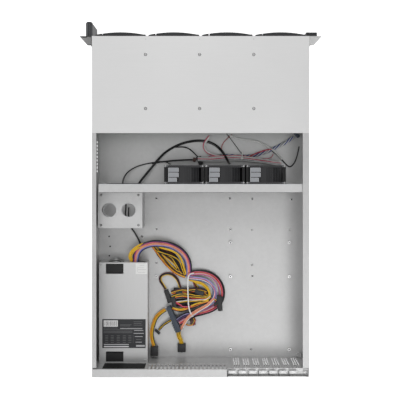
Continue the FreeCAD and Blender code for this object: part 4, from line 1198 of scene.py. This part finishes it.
def label(name, low, high, stock, rows):
    """A label with plain blocks and rules where the real one is printed.

    A row is its distance from the label's left and front edges, its size and its ink.
    """
    top = high[2]
    carried(settle(brick(low, high, 0.05, 0, 1), name, stock))
    inks = {}
    for left, front, wide, deep, ink in rows:
        x, y = high[0] - left, low[1] + front
        inks.setdefault(ink, []).append(((x - wide, y, top - 0.02), (x, y + deep, top + 0.03)))
    for ink, places in inks.items():
        bricks(places, f"{name}_{ink}", INK[ink], 0.01)


def supply_labels():
    top = box("psu_cover")[1].z
    label("supply_label_white", (109.9, 119.6, top), (134.5, 141.8, top + 0.12), LABEL_WHITE, [
        (8, 3.4, 10, 0.7, "pale"), (4, 8.6, 13, 0.5, "pale"), (5, 12.6, 17, 0.6, "pale"),
        (5, 18.2, 15, 0.6, "pale"), (3, 8, 0.5, 10, "pale"),
    ])
    rows = [
        (3, 2.6, 29.2, 13, "white"), (36.8, 11.2, 24, 1.0, "soft"), (36.8, 13.6, 21, 1.0, "soft"),
        (65, 5, 18, 0.9, "soft"), (65, 8.5, 16, 0.9, "soft"), (65, 12, 18, 0.9, "soft"),
        (2.5, 18, 30, 1.0, "soft"), (37, 18.6, 46, 1.3, "pale"), (2.5, 21.4, 80, 0.8, "soft"),
        (2.5, 24.4, 60, 1.1, "soft"), (66, 22.8, 19, 1.2, "pale"), (2.5, 27.6, 60, 1.0, "soft"),
        (65, 28.8, 21, 1.3, "pale"), (67.5, 35.5, 16, 1.2, "pale"), (70, 41.5, 11, 1.0, "soft"),
        (69, 47, 13, 1.2, "pale"), (3.5, 51.6, 51.5, 2.0, "pale"), (3.5, 56, 51.5, 1.8, "white"),
        (70, 53.5, 18, 3.6, "pale"), (64, 33, 0.4, 17, "soft"),
    ]
    for left in (6, 17.5, 30, 42.5, 54):
        for front in (34, 37.2, 40.4, 43.6, 47.6):
            rows.append((left, front, 6.4, 0.9, "soft"))
    for i in range(9):
        rows.append((5 + i * 2.9, 4.4, 0.7 + (i % 3) * 0.35, 9.4, "black"))
    label("supply_label_dark", (113.9, 234.9, top), (203.7, 294.8, top + 0.12), LABEL_DARK, rows)


def supply():
    """The supply's guards, labels, painted shade in its seams, a black plate put as painted shade
    in the opening above it, and the inlet's pins.
    """
    finger_guard("guard_front", box("psu_housing")[0].y, -1)
    finger_guard("guard_rear", 326.5, 1)
    supply_labels()
    low, high = box("psu_cover")
    # Painted shade: near-black strips along the supply cover's side seams.
    bricks([
        ((x, low.y + 1, high.z - 6.8), (x + 0.4, high.y - 1, high.z - 6.3))
        for x in (high.x - 0.3, low.x - 0.1)
    ], "cover_seams", SHADE, 0.05)
    # Painted shade: a black plate with raised bars fills the opening above the supply, held by
    # four screws.
    blank = [((112.6, 325.5, 43.2), (206.6, 326.3, 84.6))]
    blank += [((118 + i * 9.4, 324.9, 50), (121.5 + i * 9.4, 325.6, 78)) for i in range(9)]
    bricks(blank, "supply_blank_plate", BLACK_PAINT)
    scattered(screw_head(3.0, 1.1, "y"),
              [(x, 326.9, z) for x in (116.5, 202.5) for z in (47, 80)], "blank_screws", SCREW)
    pins = [((x - 0.9, 319, 20), (x + 0.9, 325.8, 24)) for x in (121, 135)]
    pins.append(((127.1, 319, 16), (128.9, 325.8, 20)))
    bricks(pins, "inlet_pins", SCREW)


# ---------------------------------------------------------------- fans

WINDOWS = ((-77.6, -69.6, 11.6), (-67.8, -59.2, 11.6), (-57.4, -49.6, 15.0))
WINDOW_LEFT = 31.0


def fans():
    """What the moulded frames carry: bright eyelets, painted highlights on the edges of the side
    windows, pale ducts behind them, and painted shade in the gap between neighbours."""
    low, high = box("fan_frames")
    top, front, rear = high.z, low.y, high.y
    eyelets, pads, cells, edges, deep, ribs = [], [], [], [], [], []
    for x in FAN_X:
        for side in (-1, 1):
            for y in (front + 2.0, rear - 2.6):
                eyelets.append((x + side * 37.6, y, top + 0.1))
                pads.append((x + side * 34.2, y, top + 0.1))
        left = x + WINDOW_LEFT
        for near, far, inset in WINDOWS:
            right = x + inset
            cells.append(((right, near, top - 0.6), (left, far, top + 0.08)))
            # Painted highlights: pale strips along the windows' edges.
            edges.append(((right - 0.7, near, top - 0.3), (right, far, top + 0.35)))
            edges.append(((right, near - 0.5, top - 0.3), (left, near, top + 0.3)))
        edges.append(((left, -77.8, top - 0.3), (left + 0.6, -49.4, top + 0.3)))
        # Painted shade: near-black strips in the gap between neighbouring frames.
        for inner, outer in ((-40.0, -34.5), (34.5, 40.0)):
            deep.append((
                (x + inner, front + 4.2, top - 0.5), (x + outer, rear - 4.2, top + 0.12),
            ))
        for i in range(7):
            rib = x - 10 - i * 3.1
            ribs.append(((rib - 0.25, -79, top - 0.3), (rib + 0.25, -49.4, top + 0.25)))
    lips = [
        ((x - 39.4, y + 0.1, top - 0.2), (x + 39.4, y + 0.7, top + 0.3))
        for x in FAN_X for y in (front, rear - 3.4)
    ]
    scattered(smooth(ring(1.25, 0.5, sides=18), 40), eyelets, "fan_eyelets", SCREW)
    scattered(smooth(disc(0.9, 0.6, sides=14, edge=0.2)), pads, "fan_pads", DUCT)
    bricks(cells, "fan_ducts", DUCT)
    for rows, name, material in (
        (edges, "fan_window_edges", EDGE_LIGHT), (deep, "fan_lead_channels", SHADE),
        (ribs, "fan_ribs", FAN_EDGE), (lips, "fan_flange_edges", FAN_EDGE),
    ):
        bricks(rows, name, material, 0.1)
    for i, x in enumerate(FAN_X, 1):
        hub = ring(12.0, 0.5, "y", 36, (x, rear - 1.0, FAN_MID))
        carried(settle(hub, f"hub_ring_{i}", FAN_EDGE))
        plate = disc(13.5, 0.3, "y", 40, 0.1, (x, front + 1.4, FAN_MID))
        carried(settle(plate, f"hub_label_{i}", LABEL_DARK))


# ---------------------------------------------------------------- fan wall and bridge

def fan_wall():
    """A painted highlight along the wall's fold, and the edge guard of its rear rim and cable
    opening.
    """
    low, high = box("fan_wall")
    # Painted highlight: a pale strip along the top of the wall's fold.
    fold = ((low.x + 1, low.y - 0.1, high.z - 0.05), (high.x - 1, low.y + 1.1, high.z + 0.18))
    bricks([fold], "wall_fold", EDGE_LIGHT, 0.3)
    guard = [((low.x + 1, high.y - 0.5, high.z - 1.4), (high.x - 1, high.y + 0.25, high.z + 0.1))]
    near, far = low.y - 0.6, low.y + 1.6
    guard += [((124, near, z), (190, far, z + 0.8)) for z in (12.5, 70.8)]
    guard += [((x, near, 12.5), (x + 0.8, far, 71.6)) for x in (123.2, 190)]
    bricks(guard, "wall_edges", GROMMET)


def bridge():
    """Painted shade rings in the small drive's screw holes, and painted highlight rims on the two
    cable holes.
    """
    top = box("drive_bridge")[1].z
    # Painted shade: near-black rings in the screw holes.
    scattered(smooth(ring(1.9, 0.35, sides=20), 40),
              [(165.8 + a * 38.3, 8.5 + b * 30.86, top) for a in (-1, 1) for b in (-1, 1)],
              "bridge_holes", SHADE)
    # Painted highlight: pale rings on the rims of the cable holes.
    scattered(smooth(ring(14.1, 0.45, sides=56), 40),
              [(184.3, 8.6, top), (147.2, 8.6, top)], "bridge_rims", EDGE_LIGHT)


# ---------------------------------------------------------------- rear

def rear():
    """Tabs of the slot covers on the rear shelf, their hooks, and painted shade in the gaps beside
    the tabs and at the retainer's ends and edge.
    """
    shelf = box("rear_panel")[1].z
    bricks([
        ((x - 7.8, 327.6, shelf - 0.1), (x + 7.6, 333.8, shelf + 0.45)) for x in SLOT_X
    ], "cover_tabs", LID, 0.35, segments=2)
    # Painted shade: near-black strips in the gaps beside the tabs.
    bricks([
        ((x + 8.2, 329.2, shelf - 0.1), (x + 8.8, 337.0, shelf + 0.12)) for x in SLOT_X
    ], "cover_gaps", SHADE, 0.05)
    hook = bent_wire([(2.6, -3.4, 0), (0.2, -1.8, 0.1), (-0.4, 0.6, 0.1), (1.2, 3.0, 0)], 0.8)
    scattered(smooth(hook, 50), [(x + 6.8, 335.7, shelf + 0.1) for x in SLOT_X],
              "cover_hooks", GROMMET)
    # Painted shade: near-black strips in the gaps at the retainer's ends and along its edge.
    ends = [
        ((-54.0, 327.2, shelf - 0.1), (-53.0, 341.2, shelf + 0.15)),
        ((-213.6, 327.2, shelf - 0.1), (-212.6, 341.2, shelf + 0.15)),
        ((-213.0, 337.3, shelf - 0.1), (-53.4, 338.2, shelf + 0.12)),
    ]
    bricks(ends, "retainer_gaps", SHADE, 0.05)
    scattered(screw_head(1.9, 0.8), [(-57.6, 331.5, shelf), (-208.6, 331.5, shelf)],
              "retainer_screws", SCREW)
    face = box("io_plate")[1].y
    beads = []
    for x in (-36, -14, 10, 34, 58, 82):
        beads += bordered((x - 7, face - 0.2, 12), (x + 7, face + 0.35, 41), 1)
    bricks(beads, "blank_beads", WALL_ZINC)


# ---------------------------------------------------------------- front

LEVER_ARC = 236.5
LEVER_CREST = -349.6
LEVER_MID = 160.5
BAY_WIDE = 107.0
BAY_HIGH = 28.4


def lever_face(x):
    """How far forward the levers' front face is, at one place across the first column."""
    return LEVER_CREST + LEVER_ARC - math.sqrt(LEVER_ARC ** 2 - (x - LEVER_MID) ** 2)


def lever_grille():
    """Upright louvres in a lever's window, on two rails."""
    louvres, pitch = 12, 5.6
    pieces = []
    for i in range(louvres):
        x = 122.6 + i * pitch
        y = lever_face(x)
        pieces.append(brick((x - 0.9, y + 1.0, 8.6), (x + 0.9, y + 3.2, 23.2), 0.35, 0, 1))
    for z in (12.6, 19.2):
        for i in range(louvres):
            x = 119.8 + i * pitch
            y = lever_face(x + pitch / 2)
            pieces.append(brick((x, y + 1.8, z - 0.5), (x + 6.2, y + 2.8, z + 0.5), 0.2, 0, 1))
    return joined(pieces, "lever_grille", BEZEL)


def lever_trim():
    """A painted highlight along the seam near the latch end."""
    x = LEVER_MID + 29.6
    y = lever_face(x)
    seam = blocks([
        ((x - 0.35, y - 0.12, 4.2), (x + 0.35, y + 0.4, 28.0)),
        ((x - 0.35, y, 27.8), (x + 0.35, -343.3, 28.15)),
    ], 0.1)
    return joined(seam, "lever_trim", SEAM_LIGHT)


def front():
    """Each bay's grille and painted seam highlight on its lever, and two small lenses on its
    carrier.
    """
    grille, trim = lever_grille(), lever_trim()
    lens = settle(smooth(disc(1.1, 1.2, "y", 18, 0.3)), "bay_lens", LENS)
    for row in range(3):
        for col in range(4):
            key = f"{row + 1}_{col + 1}"
            shift = Vector((-BAY_WIDE * col, 0, BAY_HIGH * row))
            for piece, name in ((grille, "grille"), (trim, "trim")):
                carried(copied(piece, shift, f"{name}_{key}"), f"handle_{key}")
            lights = [
                copied(lens, shift + Vector((x, lever_face(x) + 0.1, 23.6)), f"lens_{key}")
                for x in (202.4, 206.2)
            ]
            carried(joined(lights, f"lenses_{key}"), f"carrier_{key}")
    for piece in (grille, trim, lens):
        bpy.data.objects.remove(piece)


def ears():
    """Painted highlight ridges along the control pod's top, its grip ribs, and the lenses and
    sockets of the control pod and the port block.
    """
    low, high = box("control_pod")
    # Painted highlights: lighter strips along the pod's top.
    bricks([
        ((low.x + 2.3, low.y + 7, high.z - 0.2), (low.x + 3.1, high.y - 1, high.z + 0.25)),
        ((low.x + 6.0, low.y + 4, high.z - 0.2), (low.x + 6.6, high.y - 1, high.z + 0.25)),
        ((high.x - 3.6, low.y + 3, high.z - 0.2), (high.x - 2.2, high.y - 1, high.z + 0.3)),
    ], "pod_ridges", POD_EDGE)
    grip_z = [17 + 2.6 * i for i in range(7)]
    bricks([
        ((low.x + 3, low.y - 0.2, z), (high.x - 3, low.y + 0.8, z + 1.2)) for z in grip_z
    ], "pod_grip", POD_EDGE, 0.3)
    x = (low.x + high.x) / 2
    scattered(smooth(disc(1.2, 1.0, "y", 18, 0.3)), [(x, low.y, z) for z in (41.5, 46, 50.5)],
              "pod_lenses", LENS)
    rim = smooth(ring(4.6, 0.5, "y", 32, (x, low.y + 0.1, 62)))
    carried(settle(rim, "button_rim", SCREW))
    low, high = box("port_block")
    x = (low.x + high.x) / 2
    shells, tongues = [], []
    for z in (31.2, 56.7):
        corners = (x - 2.9, low.y + 0.3, z - 6.7), (x + 2.9, low.y + 8, z + 6.7)
        shells += bordered(*corners, 0.4)
        tongues.append(((x + 0.4, low.y + 1.2, z - 5.6), (x + 1.8, low.y + 8, z + 5.6)))
    bricks(shells, "port_shells", SCREW, 0.1)
    bricks(tongues, "port_tongues", LENS)


def backplane_parts():
    """Chips and capacitors on the backplane's rear face."""
    pitch = 53
    bricks([
        ((181 - i * pitch, -166.6, 30), (191 - i * pitch, -164.8, 38)) for i in range(8)
    ], "backplane_chips", SHADE, 0.3)
    scattered(smooth(disc(3.1, 5.2, "y", 20, 0.5)),
              [(160 - i * pitch, -163.2, 62) for i in range(7)], "backplane_capacitors", SCREW)


def details():
    fasteners()
    bosses()
    supply()
    fans()
    fan_wall()
    bridge()
    rear()
    front()
    ears()
    backplane_parts()


# ---------------------------------------------------------------- stage, light and camera

def stage():
    clear()
    bpy.ops.mesh.primitive_plane_add(size=14, location=(0, 0, -0.0005))
    floor = bpy.context.object
    floor.name = "floor"
    finish = Finish("studio_floor", grey(0.93), 0.7)
    x, y, _ = finish.axes()
    low, high = box("chassis_base")
    # Painted contact shadow: under the case the floor turns near-black and stops glowing, fading
    # out within 24 mm behind it.
    fade = finish.span(y, high.y, high.y + 24, 1, 0)
    under = (x.size() < high.x - 2) * (y > low.y + 3) * fade
    finish.feed("Base Color", finish.between(under, grey(0.93), grey(0.05)))
    finish.feed("Emission Color", finish.between(under, (1, 1, 1), (0, 0, 0)))
    finish.feed("Emission Strength", 0.7)
    floor.data.materials.append(finish.material)


def lamp(name, at, towards, size, power):
    light = bpy.data.lights.new(name, "AREA")
    light.shape = "RECTANGLE"
    light.size, light.size_y = size
    light.energy = power
    made = bpy.data.objects.new(name, light)
    made.location = at
    way = Vector(towards) - Vector(at)
    made.rotation_euler = way.to_track_quat("-Z", "Y").to_euler()
    bpy.context.scene.collection.objects.link(made)


def lights():
    lamp("overhead", (0, 0.2, 2.4), (0, 0, 0), (2.4, 2.4), 9)
    lamp("front", (0, -1.9, 1.7), (0, 0, 0), (1.2, 1.2), 22)
    lamp("left", (1.8, 0.3, 1.7), (0, 0, 0), (1.2, 1.2), 11)
    lamp("rear_low", (0, 2.1, 1.2), (0, 0, 0), (1.6, 1), 8)
    lamp("rear_high", (-0.4, 1.3, 2.2), (0, 0.1, 0), (1.4, 1.4), 2.5)
    lamp("rear_right", (-0.6, 0.9, 2.4), (-0.1, 0.1, 0), (1, 1), 7)
    world = bpy.data.worlds.new("studio")
    world.use_nodes = True
    world.node_tree.nodes["Background"].inputs[0].default_value = (1, 1, 1, 1)
    world.node_tree.nodes["Background"].inputs[1].default_value = 0.3
    bpy.context.scene.world = world


def camera():
    """Straight down from 1.42 m, with the front of the case at the top of the view."""
    data = bpy.data.cameras.new("camera")
    data.sensor_width = 36
    data.lens = 59.94
    data.shift_x = -0.0075
    data.shift_y = -0.07
    made = bpy.data.objects.new("camera", data)
    made.location = (-0.0048, -0.0695, 1.42)
    made.rotation_euler = (0, 0, math.pi)
    bpy.context.scene.collection.objects.link(made)
    bpy.context.scene.camera = made
    bpy.context.scene.view_settings.view_transform = "Standard"


camera()
leads()
dress_solids()
details()
stage()
lights()
